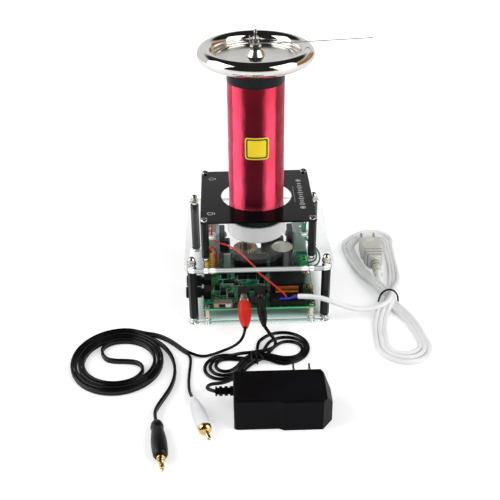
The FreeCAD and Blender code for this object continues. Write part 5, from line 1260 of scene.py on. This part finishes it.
SINGLE_Z = SINGLE_D / 2
red_route = [(-13.7, -100.3, 22.3), (-14.4, -105.1, 21.4), (-16.4, -107.6, 16.4),
             (-20.4, -106.8, 10.2), (-26.4, -105.0, 4.8), (-33.6, -105.4, 1.9),
             (-41.0, -108.8, SINGLE_Z), (-48.8, -112.0, 1.5), (-56.4, -111.6, 2.7),
             (*split_at, 3 * SINGLE_Z)]
white_route = [(*split_at, SINGLE_Z), (-61.0, -111.4, SINGLE_Z), (-60.4, -117.8, SINGLE_Z),
               (-60.8, -127.0, SINGLE_Z), (-61.4, -137.6, SINGLE_Z), (-61.4, -148.6, 1.6),
               (-60.4, -159.0, 2.6), (-58.2, -167.4, 4.9), (-57.6, -171.0, 5.9)]
red_single = flex("red_plug_lead", red_route, SINGLE_D, cord_skin)
white_single = flex("white_plug_lead", white_route, SINGLE_D, cord_skin)
on_stand(red_single, "audio_red_lead", slot="cord_black")
on_stand(white_single, "audio_white_lead", slot="cord_black")

# ------------------------------------------------------------------ audio plugs
# Soft moulded boots, red, white and black, on turned shells and pins; the pins that show are
# gold plated, and the stereo pin has three black insulating rings.
gold = finish("plug_gold", tint(232, 204, 142), tint(214, 180, 110), 0.18, metallic=1.0)
red_boot_skin = finish("plug_red", tint(214, 34, 20), tint(200, 28, 18), 0.34, relief=0.2, edge=0.4)
white_boot_skin = finish("plug_white", tint(246, 246, 249), tint(238, 238, 243), 0.3, edge=0.4)
black_boot_skin = finish("plug_boot_black", tint(10, 10, 11), tint(15, 15, 16), 0.34, relief=0.3,
                         shine=0.3)
shell_nickel = finish("plug_shell", tint(214, 212, 206), tint(190, 186, 178), 0.2, metallic=1.0)
stereo_nose, stereo_tip = (-79.2, -234.4), (-77.6, -248.8)
RINGS_AT = (4.6, 7.4, 10.2)
RING_HALF = (0.0004, 0.0006)


def ringed_gold():
    """Gold with narrow black rings across the pin."""
    paint = finish("stereo_pin", tint(232, 204, 142), tint(214, 180, 110), 0.18, metallic=1.0)
    tree = paint.node_tree
    shader = tree.nodes["Principled BSDF"]
    ahead = (Vector(stereo_tip) - Vector(stereo_nose)).normalized()
    apart = put(tree, "ShaderNodeVectorMath", {0: own_place(tree), 1: (ahead.x, ahead.y, 0.0)},
                operation="DOT_PRODUCT").outputs["Value"]
    base = Vector(stereo_nose).dot(ahead) * MM
    mask = None
    for ring in RINGS_AT:
        gap = sum_of(tree, "ABSOLUTE", sum_of(tree, "SUBTRACT", apart, base + ring * MM))
        here = ramp(tree, gap, *RING_HALF, 1.0, 0.0)
        mask = here if mask is None else sum_of(tree, "MAXIMUM", mask, here)
    painted_over(tree, mask, tint(20, 20, 20))
    tree.links.new(sum_of(tree, "SUBTRACT", 1.0, mask), shader.inputs["Metallic"])
    return paint


red_boot, red_metal = islands("red_plug", ("red_boot", "red_shell"), (red_boot_skin, shell_nickel))
(white_boot,) = islands("white_plug", ("white_boot",), (white_boot_skin,))
white_tail, white_nose = Vector((-57.6, -171.0, 5.9)), Vector((-47.8, -204.6, 5.9))
DOME = ((0.0, 4.6), (0.5, 5.2), (1.8, 5.2), (3.0, 4.8), (4.0, 3.9), (4.7, 2.6), (5.0, 1.6),
        (12.6, 1.6), (13.5, 1.2), (14.0, 0.5))


def turned(name, start, ahead, profile, paint, steps=32):
    """A turned piece on an axis; its profile gives distances along the axis and radii."""
    across = ahead.orthogonal().normalized()
    up = ahead.cross(across)
    mesh = bmesh.new()
    rings = []
    for along, radius in profile:
        middle = start + ahead * along
        rings.append([])
        for k in range(steps):
            turn = 2 * math.pi * k / steps
            spot = middle + (across * math.cos(turn) + up * math.sin(turn)) * radius
            rings[-1].append(mesh.verts.new(spot * MM))
    for near, far in zip(rings, rings[1:]):
        band(mesh, near, far)
    mesh.faces.new(rings[0])
    mesh.faces.new(rings[-1])
    return solid(name, mesh, paint)


white_metal = turned("white_shell", white_nose, (white_nose - white_tail).normalized(), DOME, gold)
on_stand(white_metal, "white_plug")
stereo_boot, stereo_pin = islands("stereo_plug", ("stereo_boot", "stereo_pin"),
                                  (black_boot_skin, ringed_gold()))
